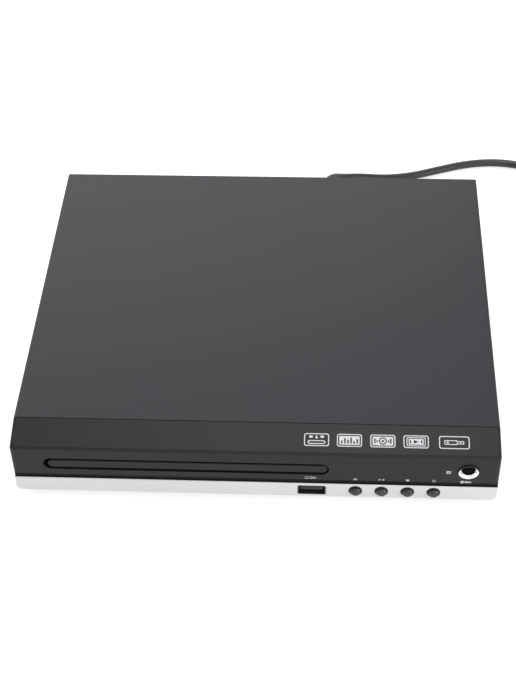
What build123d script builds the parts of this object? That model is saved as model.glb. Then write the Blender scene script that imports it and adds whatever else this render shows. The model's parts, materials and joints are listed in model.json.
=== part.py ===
from build123d import *
import math
import os

# A compact disc player that stands on a table. Millimetres. The front faces -Y, +X is to the
# right when it is seen from the front, and z = 0 is the surface that the feet stand on.
# The origin is the centre of the footprint, from the button fronts to the ends of the jacks.

os.makedirs("parts", exist_ok=True)

# Case
case_width = 240.0
cover_depth = 195.8
slope_depth = 16.2
slope_drop = 4.5
face_height = 19.05
undercut_height = 2.95
undercut_depth = 1.5
trim_height = 9.5
foot_height = 4.5
sheet = 0.8
rear_bay = 39.2
panel_wall = 2.2
panel_edge = 1.6
trim_wall = 2.0
seam_gap = 0.4
fit_gap = 0.2
run_gap = 0.3
button_proud = 1.3
jack_proud = 8.0

case_height = trim_height + undercut_height + face_height + slope_drop
case_depth = cover_depth + slope_depth
front_y = button_proud - (button_proud + case_depth + jack_proud) / 2
seam_y = front_y + slope_depth
back_y = front_y + case_depth
floor_z = foot_height
top_z = floor_z + case_height
crease_z = top_z - slope_drop
face_bottom_z = crease_z - face_height
trim_top_z = floor_z + trim_height
slope_angle = math.atan2(slope_drop, slope_depth)
pan_top_z = floor_z + sheet
cover_under_z = top_z - sheet
wall_y = back_y - sheet - fit_gap
wall_inner_y = wall_y - sheet
half_width = case_width / 2
loader_back_y = wall_inner_y - rear_bay

# Disc loader: its centre line, the disc and the tray
loader_from_left = 86.2
disc_radius = 60.0
mini_disc_radius = 40.0
disc_clearance = 1.0
disc_behind_front = 69.5
tray_width = 131.0
tray_height = 6.0
tray_back_gap = 5.0
tray_plate = 1.6
tray_skirt = 1.5
tray_slot_width = 40.0
disc_seat_depth = 2.0
mini_seat_depth = 1.0
slot_length = 141.0
slot_height = 7.7
slot_z = face_bottom_z + 8.0
door_length = 138.0
door_height = 4.9
door_thickness = 2.5
door_shift = 0.75
tray_travel = 126.0

loader_x = -half_width + loader_from_left
disc_y = front_y + disc_behind_front
tray_bottom_z = slot_z - tray_height / 2
tray_top_z = tray_bottom_z + tray_height
tray_front_y = front_y + door_thickness
tray_back_y = loader_back_y - tray_back_gap
tray_length = tray_back_y - tray_front_y
disc_seat_z = tray_top_z - disc_seat_depth
mini_seat_z = disc_seat_z - mini_seat_depth

# Loader frame
frame_wall = 2.5
frame_floor = 2.0
frame_front_gap = 0.8
frame_side_gap = 0.5
pad_height = 0.9
rail_thickness = 1.7
rail_width = 3.6
bridge_z = tray_top_z + 3.1

frame_front_y = seam_y + frame_front_gap
frame_back_y = loader_back_y
frame_length = frame_back_y - frame_front_y
frame_z = pan_top_z + pad_height
deck_z = frame_z + frame_floor
frame_inner = tray_width / 2 + frame_side_gap
frame_outer = frame_inner + frame_wall
rail_top_z = tray_bottom_z - run_gap

# Gears that drive the tray
rack_module = 1.0
tray_pinion_teeth = 18
train_module = 0.8
tray_wheel_teeth = 28
pulley_pinion_teeth = 10
gear_row = 32.0
gear_pin_radius = 1.5
pin_gap = 0.05
big_groove_radius = 9.2
small_groove_radius = 2.8
flange_depth = 0.9
belt_size = 1.2

rack_pitch_x = loader_x + tray_width / 2 - 4.25
tray_gear_x = rack_pitch_x - rack_module * tray_pinion_teeth / 2
gear_y = front_y + gear_row
gear_spacing = train_module * (tray_wheel_teeth + pulley_pinion_teeth) / 2
pulley_gear_x = tray_gear_x - gear_spacing
motor_x = pulley_gear_x - 29.0
motor_radius = 10.5
motor_height = 9.8
wheel_z = deck_z + 5.2
wheel_height = 3.2
belt_z = deck_z + 11.0
upper_gear_z = tray_bottom_z + 0.05
upper_gear_height = 1.9

# Lifting frame, traverse and pickup
cam_travel = 12.0
pin_drop = 5.5
lift_pin_radius = 1.5
cam_thickness = 3.0
cam_front = 46.7
lift_left = loader_x - 34.0
lift_right = loader_x + 52.0
lift_front_gap = 1.8
lift_length = 98.5
lift_thickness = 3.0
lift_z = deck_z + 3.6
lift_arm = 5.0
pivot_inset = 2.0
pivot_radius = 2.0
pivot_length = 6.5
damper_height = 1.3
plate_thickness = 1.0
rod_radius = 1.5
rod_sides = 12
rod_spread = 20.5
rod_length = 70.0
rod_start = 6.0
sled_travel = 34.0
lens_rest = 24.0
feed_module = 0.6
feed_gear_teeth = 24
feed_pinion_teeth = 10
feed_rack_out = 26.0
feed_gear_back = 36.0
spindle_radius = 12.0
turntable_radius = 13.0
hub_radius = 7.3

cam_y = front_y + cam_front
lift_front_y = cam_y + cam_thickness + lift_front_gap
lift_back_y = lift_front_y + lift_length
lift_top_z = lift_z + lift_thickness
pivot_y = lift_back_y - pivot_inset
pivot_z = lift_z + lift_thickness / 2
plate_z = lift_top_z + damper_height
plate_top_z = plate_z + plate_thickness
rod_z = plate_top_z + 1.5
turntable_z = disc_seat_z + 0.7
feed_rack_x = loader_x + feed_rack_out
feed_gear_x = feed_rack_x + feed_module * feed_gear_teeth / 2
feed_gear_y = disc_y + feed_gear_back
feed_spacing = feed_module * (feed_gear_teeth + feed_pinion_teeth) / 2
feed_pinion_x = feed_gear_x + feed_spacing * math.sqrt(0.5)
feed_pinion_y = feed_gear_y + feed_spacing * math.sqrt(0.5)

# Front controls and sockets
button_first_from_right = 69.85
button_pitch = 12.85
button_radius = 2.95
button_gap = 0.3
button_travel = 0.6
button_z = floor_z + trim_height / 2
board_behind_front = 14.0
board_thickness = 1.6
usb_from_right = 91.65
usb_width = 14.0
usb_height = 6.4
usb_shell_width = 13.2
usb_shell_height = 5.8
usb_metal = 0.3
mic_from_right = 15.25
mic_above_slot = 0.2
mic_bore_radius = 3.25
mic_ring_radius = 5.1
mic_ring_proud = 0.8
mic_sleeve_radius = 4.4
mic_body = 12.4
mic_length = 28.0
lens_from_right = 24.7
lens_width = 2.8
lens_height = 2.6

# Boards and rear sockets
stand_height = 5.0
stand_radius = 2.5
screw_radius = 1.4
screw_hole_radius = 1.45
screw_sides = 6
head_radius = 2.8
head_height = 1.6
rear_board_gap = 3.0
jack_from_left = 72.0
jack_pitch = 14.0
jack_radius = 4.15
jack_z = 19.9
hdmi_from_left = 34.0
power_gap = 3.8
power_from_right = 6.0
power_front = 8.0

button_first_x = half_width - button_first_from_right
usb_x = half_width - usb_from_right
mic_x = half_width - mic_from_right
mic_z = slot_z + mic_above_slot
lens_x = half_width - lens_from_right
jack_x = -half_width + jack_from_left
hdmi_x = -half_width + hdmi_from_left
board_y = front_y + board_behind_front
ear_offset = frame_outer + 3.8
ear_width = 8.6
power_left = loader_x + ear_offset + ear_width / 2 + power_gap
power_right = half_width - power_from_right
stand_top_z = pan_top_z + stand_height
board_top_z = stand_top_z + board_thickness

# Cord
cord_diameter = 4.8
cord_x = 33.0
cord_z = 20.0
relief_out = 13.0
relief_radius = 6.2
relief_sides = 12
cord_hole_radius = 5.2
coil_x = 193.8
coil_gap = 0.5
coil_middle_diameter = 57.0
coil_half_turns = 5
tie_thickness = 0.8
tie_gap = 0.1

button_names = ["eject_button", "play_button", "stop_button", "power_button"]
button_xs = [button_first_x + i * button_pitch for i in range(len(button_names))]


def gear_points(x, y, teeth, module, tooth_angle):
    """Outline of a spur gear about (x, y), with one tooth centred at tooth_angle degrees."""
    step = 360 / teeth
    root = teeth * module / 2 - 1.2 * module
    tip = teeth * module / 2 + 0.9 * module
    points = []
    for i in range(teeth):
        for radius, share in ((root, -0.27), (tip, -0.13), (tip, 0.13), (root, 0.27)):
            angle = math.radians(tooth_angle + (i + share) * step)
            points.append((x + radius * math.cos(angle), y + radius * math.sin(angle)))
    return points


def rack_points(pitch_x, back_x, low_y, teeth, module):
    """Outline of a rack along Y whose first tooth starts at low_y and whose back is at back_x."""
    side = math.copysign(1, pitch_x - back_x)
    step = math.pi * module
    root = pitch_x - side * 1.2 * module
    tip = pitch_x + side * 0.9 * module
    points = [(back_x, low_y)]
    for i in range(teeth):
        centre = low_y + (i + 0.5) * step
        points += [
            (root, centre - 0.27 * step),
            (tip, centre - 0.13 * step),
            (tip, centre + 0.13 * step),
            (root, centre + 0.27 * step),
        ]
    points.append((back_x, low_y + teeth * step))
    return points


def at_y(y):
    """Sketch plane that faces the front at depth y, with sketch (x, y) as world (x, z)."""
    return Plane.XZ.offset(-y)


def screw_hole(extra=0.0, mode=Mode.ADD):
    """Few-sided hole that a screw's shank passes through."""
    RegularPolygon(screw_hole_radius + extra, screw_sides, mode=mode)


# Base pan: floor, side flanges and back wall of one folded sheet
pan_width = case_width - 2 * (sheet + fit_gap)
pan_front_y = front_y + 6.0
pan_front_width = case_width - 2 * (trim_wall + run_gap)
flange_height = 11.0
foot_inset = 22.0
foot_xs = (-half_width + foot_inset, half_width - foot_inset)
foot_ys = (front_y + 30.0, back_y - 24.0)
foot_points = [(x, y) for x in foot_xs for y in foot_ys]
ear_ys = (frame_front_y + 9.0, frame_back_y - 11.0)
ear_points = [(loader_x + side * ear_offset, y) for side in (-1, 1) for y in ear_ys]
rear_board_front = frame_back_y + rear_board_gap
rear_board_back = wall_inner_y - 1.5
rear_board_left = -half_width + 14.0
rear_board_right = cord_x - relief_radius + 1.2
rear_stands = [(x, y) for x in (rear_board_left + 4, rear_board_right - 4)
               for y in (rear_board_front + 4, rear_board_back - 8)]
power_back = wall_inner_y - 2.5
power_stands = [(x, y) for x in (power_left + 4, power_right - 4)
                for y in (power_front + 4, power_back - 4)]
stand_points = rear_stands + power_stands
side_screw_ys = (seam_y + 42.0, back_y - 34.0)
side_screw_z = floor_z + flange_height * 0.6
rear_screw_xs = (-half_width + 24.0, 4.0, half_width - 20.0)
rear_screw_z = top_z - 4.4
hdmi_z = board_top_z + 3.2

with BuildPart() as base_pan:
    with BuildSketch(Plane.XY.offset(floor_z)):
        with Locations((0, (seam_y + run_gap + wall_y) / 2)):
            Rectangle(pan_width, wall_y - seam_y - run_gap)
        with Locations((0, (pan_front_y + seam_y + 1) / 2)):
            Rectangle(pan_front_width, seam_y + 1 - pan_front_y)
    extrude(amount=sheet)
    with BuildSketch(Plane.XY.offset(floor_z)):
        for side in (-1, 1):
            with Locations((side * (pan_width - sheet) / 2, (seam_y + run_gap + wall_y) / 2)):
                Rectangle(sheet, wall_y - seam_y - run_gap)
    extrude(amount=flange_height)
    with BuildSketch(at_y(wall_y)):
        with Locations((0, (floor_z + cover_under_z - fit_gap) / 2)):
            Rectangle(pan_width, cover_under_z - fit_gap - floor_z)
    extrude(amount=sheet)
    with BuildSketch(Plane.XY.offset(pan_top_z)):
        with Locations(*stand_points):
            RegularPolygon(stand_radius + 0.4, 6)
    extrude(amount=stand_height)
    with BuildSketch(Plane.XY.offset(pan_top_z)):
        with Locations(*ear_points):
            RegularPolygon(stand_radius + 1.4, 6)
    extrude(amount=pad_height)
    with BuildSketch(Plane.XY.offset(floor_z)):
        with Locations(*stand_points, *ear_points, *foot_points):
            screw_hole()
    extrude(amount=stand_height + sheet, mode=Mode.SUBTRACT)
    with BuildSketch(Plane.XY.offset(floor_z)):
        with Locations(((power_left + power_right) / 2, (power_front + power_back) / 2)):
            with GridLocations(7.0, 34.0, 6, 2):
                Rectangle(2.4, 22.0)
    extrude(amount=sheet, mode=Mode.SUBTRACT)
    with BuildSketch(Plane.YZ.offset(-half_width)):
        with Locations(*[(y, side_screw_z) for y in side_screw_ys]):
            screw_hole()
    extrude(amount=case_width, mode=Mode.SUBTRACT)
    with BuildSketch(at_y(wall_y)):
        with Locations(*[(x, rear_screw_z) for x in rear_screw_xs]):
            screw_hole()
        with Locations((jack_x, jack_z)):
            with GridLocations(jack_pitch, 1, 3, 1):
                RegularPolygon(jack_radius + 0.8, 12)
        with Locations((hdmi_x, hdmi_z)):
            Rectangle(15.8, 6.6)
        with Locations((cord_x, cord_z)):
            RegularPolygon(cord_hole_radius, relief_sides)
    extrude(amount=sheet, mode=Mode.SUBTRACT)

# Top cover: top, two sides and a lip over the back wall
cover_bottom_z = floor_z + 0.6
cover_bend = 1.6
lip_height = 8.0
vent_count = 9
vent_pitch = 6.5

with BuildPart() as top_cover:
    with BuildSketch(at_y(back_y)) as cover_section:
        with BuildLine():
            Polyline(
                (-half_width, cover_bottom_z),
                (-half_width, top_z),
                (half_width, top_z),
                (half_width, cover_bottom_z),
                close=True,
            )
        make_face()
        fillet(cover_section.vertices().group_by(Axis.Y)[-1], cover_bend)
    extrude(amount=cover_depth - seam_gap)
    with BuildSketch(at_y(back_y - sheet)) as cover_hollow:
        with Locations((0, (cover_bottom_z + cover_under_z) / 2 - 5)):
            Rectangle(case_width - 2 * sheet, cover_under_z - cover_bottom_z + 10)
        fillet(cover_hollow.vertices().group_by(Axis.Y)[-1], cover_bend - sheet)
    extrude(amount=cover_depth, mode=Mode.SUBTRACT)
    with BuildSketch(at_y(back_y)):
        with Locations((0, (cover_bottom_z + top_z - lip_height) / 2)):
            Rectangle(case_width - 2 * sheet, top_z - lip_height - cover_bottom_z)
    extrude(amount=sheet, mode=Mode.SUBTRACT)
    with BuildSketch(Plane.YZ.offset(-half_width)):
        with Locations((back_y - 60.0, (floor_z + top_z) / 2 + 3.0)):
            with GridLocations(vent_pitch, 1, vent_count, 1):
                Rectangle(2.4, 13.0)
        with Locations(*[(y, side_screw_z) for y in side_screw_ys]):
            screw_hole(0.15)
    extrude(amount=case_width, mode=Mode.SUBTRACT)
    with BuildSketch(at_y(back_y)):
        with Locations(*[(x, rear_screw_z) for x in rear_screw_xs]):
            screw_hole(0.15)
    extrude(amount=sheet, mode=Mode.SUBTRACT)

# Front panel: a moulded shell with a sloping top, a flat face and an undercut foot
slope_rise = math.tan(slope_angle)
slope_wall = panel_wall / math.cos(slope_angle)
collar_wall = 1.2
collar_depth = 9.0
lip_thickness = 1.2
lip_z = cover_under_z - fit_gap - lip_thickness
boss_points = [
    (loader_x + slot_length / 2 + 10.9, slot_z + 2.4),
    (lens_x - 9.15, slot_z + 2.4),
    (usb_x - 10.7, face_bottom_z - 0.25),
]
boss_radius = 2.4

with BuildPart() as front_panel:
    with BuildSketch(Plane.YZ):
        with BuildLine():
            Polyline(
                (seam_y, top_z),
                (front_y, crease_z),
                (front_y, face_bottom_z),
                (front_y + undercut_depth, trim_top_z),
                (seam_y, trim_top_z),
                close=True,
            )
        make_face()
    extrude(amount=half_width, both=True)
    crease_edges = front_panel.edges().filter_by(Axis.X).group_by(Axis.Y)[0].sort_by(Axis.Z)[-1:]
    corner_edges = front_panel.edges().filter_by(
        lambda e: abs(abs(e.center().X) - half_width) < 0.01
        and e.length > slope_depth
        and e.center().Y < seam_y - 1
    )
    fillet(crease_edges + corner_edges, panel_edge)
    with BuildSketch(Plane.YZ):
        with BuildLine():
            Polyline(
                (seam_y + 1, top_z + slope_rise - slope_wall),
                (front_y + panel_wall, crease_z + slope_rise * panel_wall - slope_wall),
                (front_y + panel_wall, face_bottom_z),
                (front_y + undercut_depth + panel_wall, trim_top_z - 1),
                (seam_y + 1, trim_top_z - 1),
                close=True,
            )
        make_face()
    extrude(amount=half_width - panel_wall, both=True, mode=Mode.SUBTRACT)
    with BuildSketch(at_y(front_y + 1)):
        with Locations((loader_x, slot_z)):
            Rectangle(slot_length + 2 * collar_wall, slot_height + 2 * collar_wall)
    extrude(amount=-(collar_depth - 1))
    with BuildSketch(at_y(front_y + 1)):
        with Locations(*boss_points):
            RegularPolygon(boss_radius, 6)
    extrude(amount=-(board_y - front_y - 1))
    with BuildSketch(Plane.XY.offset(lip_z)):
        with Locations((0, seam_y + 2)):
            Rectangle(case_width - 2 * (sheet + fit_gap + 1.5), 6)
    extrude(amount=lip_thickness)
    with BuildSketch(Plane.XY.offset(pan_top_z + flange_height)):
        for side in (-1, 1):
            with Locations((side * (half_width - sheet - fit_gap - 1.5), seam_y + 1)):
                Rectangle(1.2, 6)
    extrude(amount=lip_z - pan_top_z - flange_height)
    with BuildSketch(at_y(front_y)):
        with Locations((loader_x, slot_z)):
            SlotOverall(slot_length, slot_height)
    extrude(amount=-collar_depth, mode=Mode.SUBTRACT)
    with BuildSketch(at_y(front_y)):
        with Locations((mic_x, mic_z)):
            Circle(mic_sleeve_radius + 0.1)
        with Locations((lens_x, mic_z)):
            Rectangle(lens_width + 0.1, lens_height + 0.1)
    extrude(amount=-(panel_wall + 0.5), mode=Mode.SUBTRACT)

# Front trim: silver strip with a ledge, round lower corners, a socket window and button holes
trim_ledge = 1.0
trim_ledge_depth = 5.0
trim_corner = 2.5

with BuildPart() as front_trim:
    with BuildSketch(at_y(front_y)) as trim_outline:
        with Locations((0, floor_z + trim_height / 2)):
            Rectangle(case_width, trim_height)
        fillet(trim_outline.vertices().group_by(Axis.Y)[0], trim_corner)
    extrude(amount=-slope_depth)
    front_edges = front_trim.edges().group_by(Axis.Y)[0]
    chamfer(front_edges, 0.4)
    with BuildSketch(at_y(front_y + trim_wall)):
        with Locations((0, trim_top_z - trim_ledge - trim_height / 2)):
            Rectangle(case_width - 2 * trim_wall, trim_height)
    extrude(amount=-slope_depth, mode=Mode.SUBTRACT)
    with BuildSketch(at_y(front_y + trim_ledge_depth)):
        with Locations((0, trim_top_z)):
            Rectangle(case_width - 2 * trim_wall, 2 * trim_ledge + 1)
    extrude(amount=-slope_depth, mode=Mode.SUBTRACT)
    with BuildSketch(at_y(front_y)):
        with Locations((usb_x, button_z)):
            RectangleRounded(usb_width, usb_height, 0.9)
        with Locations(*[(x, button_z) for x in button_xs]):
            Circle(button_radius + button_gap)
    extrude(amount=-trim_wall, mode=Mode.SUBTRACT)
    rim_edges = front_trim.edges().group_by(Axis.Y)[0].filter_by(
        lambda e: abs(e.center().X - usb_x) < usb_width and e.length < 2 * usb_width
    )
    chamfer(rim_edges, 0.25)

# Four rubber feet
foot_radius = 8.0
foot_recess = 2.4

with BuildPart() as feet:
    with BuildSketch():
        with Locations(*foot_points):
            RegularPolygon(foot_radius, 12)
    extrude(amount=foot_height)
    with BuildSketch():
        with Locations(*foot_points):
            RegularPolygon(4.0, 6)
    extrude(amount=foot_recess, mode=Mode.SUBTRACT)
    with BuildSketch():
        with Locations(*foot_points):
            RegularPolygon(screw_radius + 0.3, screw_sides)
    extrude(amount=foot_height, mode=Mode.SUBTRACT)

# Screws: those of the cover, and one kind for everything inside and for the feet
screw_length = 5.0
inner_screw_length = 3.5
bridge_boss_x = frame_outer + 2.7
bridge_thickness = 1.0
cover_screw_planes = [
    Plane((x, back_y, rear_screw_z), x_dir=(1, 0, 0), z_dir=(0, 1, 0)) for x in rear_screw_xs
] + [
    Plane((side * half_width, y, side_screw_z), x_dir=(0, 1, 0), z_dir=(side, 0, 0))
    for side in (-1, 1)
    for y in side_screw_ys
]

with BuildPart() as cover_screws:
    for plane in cover_screw_planes:
        with BuildSketch(plane):
            RegularPolygon(head_radius, screw_sides)
        extrude(amount=head_height)
        with BuildSketch(plane):
            RegularPolygon(screw_radius, screw_sides)
        extrude(amount=-screw_length)

screw_seats = [(x, y, board_top_z) for x, y in stand_points]
screw_seats += [(x, y, deck_z) for x, y in ear_points]
screw_seats += [
    (loader_x + side * bridge_boss_x, disc_y, bridge_z + bridge_thickness) for side in (-1, 1)
]

with BuildPart() as inner_screws:
    for x, y, z in screw_seats:
        with BuildSketch(Plane.XY.offset(z)):
            with Locations((x, y)):
                RegularPolygon(2.6, 6)
        extrude(amount=1.5)
        with BuildSketch(Plane.XY.offset(z)):
            with Locations((x, y)):
                RegularPolygon(screw_radius, screw_sides)
        extrude(amount=-inner_screw_length)
    for x, y in foot_points:
        with BuildSketch(Plane.XY.offset(foot_recess)):
            with Locations((x, y)):
                RegularPolygon(2.6, 6)
        extrude(amount=-1.5)
        with BuildSketch(Plane.XY.offset(foot_recess)):
            with Locations((x, y)):
                RegularPolygon(screw_radius, screw_sides)
        extrude(amount=inner_screw_length)

# Front board: an upright L-shaped board with the switches, the receiver and both sockets
board_low_z = pan_top_z + 1.0
board_high_z = slot_z + 6.6
board_step_z = slot_z - slot_height / 2 - collar_wall - 1.0
board_left = usb_x - 14.2
board_right = half_width - 4.5
board_step_x = loader_x + slot_length / 2 + collar_wall + 4.2
mic_low_z = mic_z - mic_body / 2

with BuildPart() as front_board:
    with BuildSketch(at_y(board_y)):
        with BuildLine():
            Polyline(
                (board_left, board_low_z),
                (board_right, board_low_z),
                (board_right, board_high_z),
                (board_step_x, board_high_z),
                (board_step_x, board_step_z),
                (board_left, board_step_z),
                close=True,
            )
        make_face()
        with Locations((mic_x, mic_z)):
            Rectangle(mic_body + 0.4, mic_body + 0.4, mode=Mode.SUBTRACT)
    extrude(amount=-board_thickness)

switch_body = 6.0
switch_height = 3.5
plunger_radius = 1.7
plunger_height = 1.5
plunger_y = board_y - switch_height - plunger_height

with BuildPart() as tact_switches:
    with BuildSketch(at_y(board_y)):
        with Locations(*[(x, button_z) for x in button_xs]):
            Rectangle(switch_body, switch_body)
    extrude(amount=switch_height)
    with BuildSketch(at_y(board_y - switch_height)):
        with Locations(*[(x, button_z) for x in button_xs]):
            RegularPolygon(plunger_radius, 8)
    extrude(amount=plunger_height)

with BuildPart() as ir_receiver:
    with BuildSketch(at_y(board_y)):
        with Locations((lens_x - 1.2, mic_z)):
            Rectangle(4.6, 6.0)
    extrude(amount=2.4)
    with BuildSketch(at_y(board_y - 2.4)):
        with Locations((lens_x - 1.2, mic_z)):
            RegularPolygon(1.6, 8)
    extrude(amount=1.2, taper=20)

with BuildPart() as indicator_lens:
    with BuildSketch(at_y(front_y - 0.1)):
        with Locations((lens_x, mic_z)):
            Rectangle(lens_width, lens_height)
    extrude(amount=-(panel_wall + 0.1))
    with BuildSketch(at_y(front_y + panel_wall)):
        with Locations((lens_x, mic_z)):
            Rectangle(lens_width + 1.0, lens_height + 1.0)
    extrude(amount=-0.8)

# Socket for a memory stick: a folded steel shell with an insulating tongue
usb_front_y = front_y + 0.6
tongue_thickness = 1.9

with BuildPart() as usb_shell:
    with BuildSketch(at_y(usb_front_y)):
        with Locations((usb_x, button_z)):
            Rectangle(usb_shell_width, usb_shell_height)
            Rectangle(
                usb_shell_width - 2 * usb_metal,
                usb_shell_height - 2 * usb_metal,
                mode=Mode.SUBTRACT,
            )
    extrude(amount=-(board_y - usb_front_y))

usb_inner_top = button_z + usb_shell_height / 2 - usb_metal
with BuildPart() as usb_tongue:
    with BuildSketch(at_y(usb_front_y + 1.2)):
        with Locations((usb_x, usb_inner_top - 0.35 - tongue_thickness / 2)):
            Rectangle(11.1, tongue_thickness)
    extrude(amount=-(board_y - usb_front_y - 1.2))
    with BuildSketch(at_y(board_y - 1.5)):
        with Locations((usb_x, button_z)):
            Rectangle(12.4, 5.0)
    extrude(amount=-1.5)

# Microphone socket: an insulating body behind the panel and a bright ring in front
mic_body_y = front_y + panel_wall + 0.1

with BuildPart() as mic_jack:
    with BuildSketch(at_y(mic_body_y)):
        with Locations((mic_x, mic_z)):
            Rectangle(mic_body, mic_body)
            Circle(mic_bore_radius, mode=Mode.SUBTRACT)
    extrude(amount=-(mic_length - 2))
    with BuildSketch(at_y(mic_body_y + mic_length - 2)):
        with Locations((mic_x, mic_z)):
            Rectangle(mic_body, mic_body)
    extrude(amount=-2.0)

with BuildPart() as mic_ring:
    with BuildSketch(Plane((mic_x, front_y, mic_z), x_dir=(1, 0, 0), z_dir=(0, 0, 1))):
        with BuildLine():
            Polyline(
                (mic_bore_radius, -mic_ring_proud),
                (mic_ring_radius - 0.5, -mic_ring_proud),
                (mic_ring_radius, 0),
                (mic_sleeve_radius, 0),
                (mic_sleeve_radius, panel_wall + 0.1),
                (mic_bore_radius, panel_wall + 0.1),
                close=True,
            )
        make_face()
    revolve(axis=Axis((mic_x, front_y, mic_z), (0, 1, 0)))

# Buttons: a domed cap, a pair of wings behind the trim and a stem towards the switch
dome_edge = 0.5
wing_length = 10.0
wing_height = 4.4
wing_thickness = 1.2
stem_radius = 1.5
wing_y = front_y + trim_wall + run_gap
stem_end_y = plunger_y - button_travel - fit_gap
dome_flat = button_radius - 1.6 * (button_proud - dome_edge)
buttons = {}

for label, x in zip(button_names, button_xs):
    with BuildPart() as button:
        with BuildSketch(Plane((x, front_y, button_z), x_dir=(1, 0, 0), z_dir=(0, 0, 1))):
            with BuildLine():
                Polyline(
                    (0, -button_proud),
                    (dome_flat, -button_proud),
                    (button_radius, -dome_edge),
                    (button_radius, trim_wall + run_gap),
                    (0, trim_wall + run_gap),
                    close=True,
                )
            make_face()
        revolve(axis=Axis((x, front_y, button_z), (0, 1, 0)))
        with BuildSketch(at_y(wing_y)):
            with Locations((x, button_z)):
                Rectangle(wing_length, wing_height)
        extrude(amount=-wing_thickness)
        with BuildSketch(at_y(wing_y)):
            with Locations((x, button_z)):
                RegularPolygon(stem_radius, 6)
        extrude(amount=-(stem_end_y - wing_y))
    buttons[label] = button

# Rear board with its chips, the AV jacks and the digital video socket
board_middle = ((rear_board_left + rear_board_right) / 2, (rear_board_front + rear_board_back) / 2)

with BuildPart() as main_board:
    with BuildSketch(Plane.XY.offset(stand_top_z)):
        with Locations(board_middle):
            Rectangle(rear_board_right - rear_board_left, rear_board_back - rear_board_front)
        with Locations(*rear_stands):
            screw_hole(mode=Mode.SUBTRACT)
    extrude(amount=board_thickness)

with BuildPart() as main_chips:
    for x, y, width, depth, height in (
        (rear_board_right - 42, rear_board_front + 14, 16.0, 16.0, 1.6),
        (rear_board_right - 22, rear_board_front + 12, 10.0, 18.0, 1.4),
        (rear_board_left + 28, rear_board_front + 9, 8.0, 6.0, 1.6),
        (jack_x + 16, rear_board_front + 7, 6.0, 5.0, 1.6),
        (rear_board_right - 16, rear_board_back - 10, 12.0, 5.0, 5.0),
        (rear_board_left + 10, rear_board_front + 12, 5.0, 12.0, 5.0),
    ):
        with BuildSketch(Plane.XY.offset(board_top_z)):
            with Locations((x, y)):
                Rectangle(width, depth)
        extrude(amount=height)

jack_face_y = wall_inner_y - fit_gap
jack_depth = 14.5
jack_metal = 0.5
jack_xs = [jack_x + i * jack_pitch for i in (-1, 0, 1)]

with BuildPart() as jack_block:
    with BuildSketch(at_y(jack_face_y)):
        with Locations((jack_x, (board_top_z + jack_z + 6.5) / 2)):
            Rectangle(3 * jack_pitch, jack_z + 6.5 - board_top_z)
    extrude(amount=jack_depth)

with BuildPart() as jack_shells:
    with BuildSketch(at_y(back_y + jack_proud)):
        with Locations(*[(x, jack_z) for x in jack_xs]):
            Circle(jack_radius)
            RegularPolygon(jack_radius - jack_metal, 12, mode=Mode.SUBTRACT)
    extrude(amount=jack_proud)

insulators = {}
for label, x in zip(("video_insulator", "left_insulator", "right_insulator"), jack_xs):
    with BuildPart() as insulator:
        with BuildSketch(at_y(back_y + jack_proud - 0.4)):
            with Locations((x, jack_z)):
                RegularPolygon(jack_radius - jack_metal, 12)
                RegularPolygon(1.75, 8, mode=Mode.SUBTRACT)
        extrude(amount=back_y + jack_proud - 0.4 - jack_face_y)
    insulators[label] = insulator

with BuildPart() as hdmi_socket:
    with BuildSketch(at_y(wall_y)):
        with Locations((hdmi_x, hdmi_z)):
            Rectangle(15.0, 5.8)
            Rectangle(14.2, 5.0, mode=Mode.SUBTRACT)
    extrude(amount=12.0)
    with BuildSketch(at_y(wall_y - 2.0)):
        with Locations((hdmi_x, hdmi_z)):
            Rectangle(12.0, 1.2)
    extrude(amount=10.0)
    with BuildSketch(at_y(wall_y - 10.5)):
        with Locations((hdmi_x, hdmi_z)):
            Rectangle(14.2, 5.0)
    extrude(amount=1.5)
    with BuildSketch(Plane.XY.offset(board_top_z)):
        with Locations((hdmi_x, wall_y - 8.0)):
            with GridLocations(14.0, 6.0, 2, 2):
                Rectangle(0.8, 1.6)
    extrude(amount=hdmi_z - 2.5 - board_top_z)

# Power board with its transformer and capacitors
power_middle = ((power_left + power_right) / 2, (power_front + power_back) / 2)

with BuildPart() as power_board:
    with BuildSketch(Plane.XY.offset(stand_top_z)):
        with Locations(power_middle):
            Rectangle(power_right - power_left, power_back - power_front)
        with Locations(*power_stands):
            screw_hole(mode=Mode.SUBTRACT)
    extrude(amount=board_thickness)

transformer_x = power_left + 38.0
transformer_y = power_front + 44.0

with BuildPart() as transformer:
    with BuildSketch(Plane.XY.offset(board_top_z)):
        with Locations((transformer_x, transformer_y)):
            Rectangle(20.0, 22.0)
    extrude(amount=2.5)
    with BuildSketch(Plane.XY.offset(board_top_z + 2.5)):
        with Locations((transformer_x, transformer_y)):
            Rectangle(17.0, 16.0)
    extrude(amount=11.0)
    with BuildSketch(Plane.XY.offset(board_top_z + 13.5)):
        with Locations((transformer_x, transformer_y)):
            Rectangle(20.0, 22.0)
    extrude(amount=1.5)
    with BuildSketch(Plane.XY.offset(board_top_z + 4.0)):
        with Locations((transformer_x, transformer_y)):
            with GridLocations(0, 18.6, 1, 2):
                Rectangle(22.0, 4.6)
    extrude(amount=9.0)

with BuildPart() as capacitors:
    for x, y, radius, height in (
        (power_left + 12.0, power_back - 26.0, 6.5, 21.0),
        (power_left + 12.0, power_front + 20.0, 4.0, 12.5),
        (power_left + 22.0, power_front + 14.0, 4.0, 12.5),
        (power_left + 56.0, power_front + 16.0, 5.0, 16.0),
    ):
        with BuildSketch(Plane.XY.offset(board_top_z)):
            with Locations((x, y)):
                RegularPolygon(radius, 12)
        extrude(amount=height)

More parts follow.
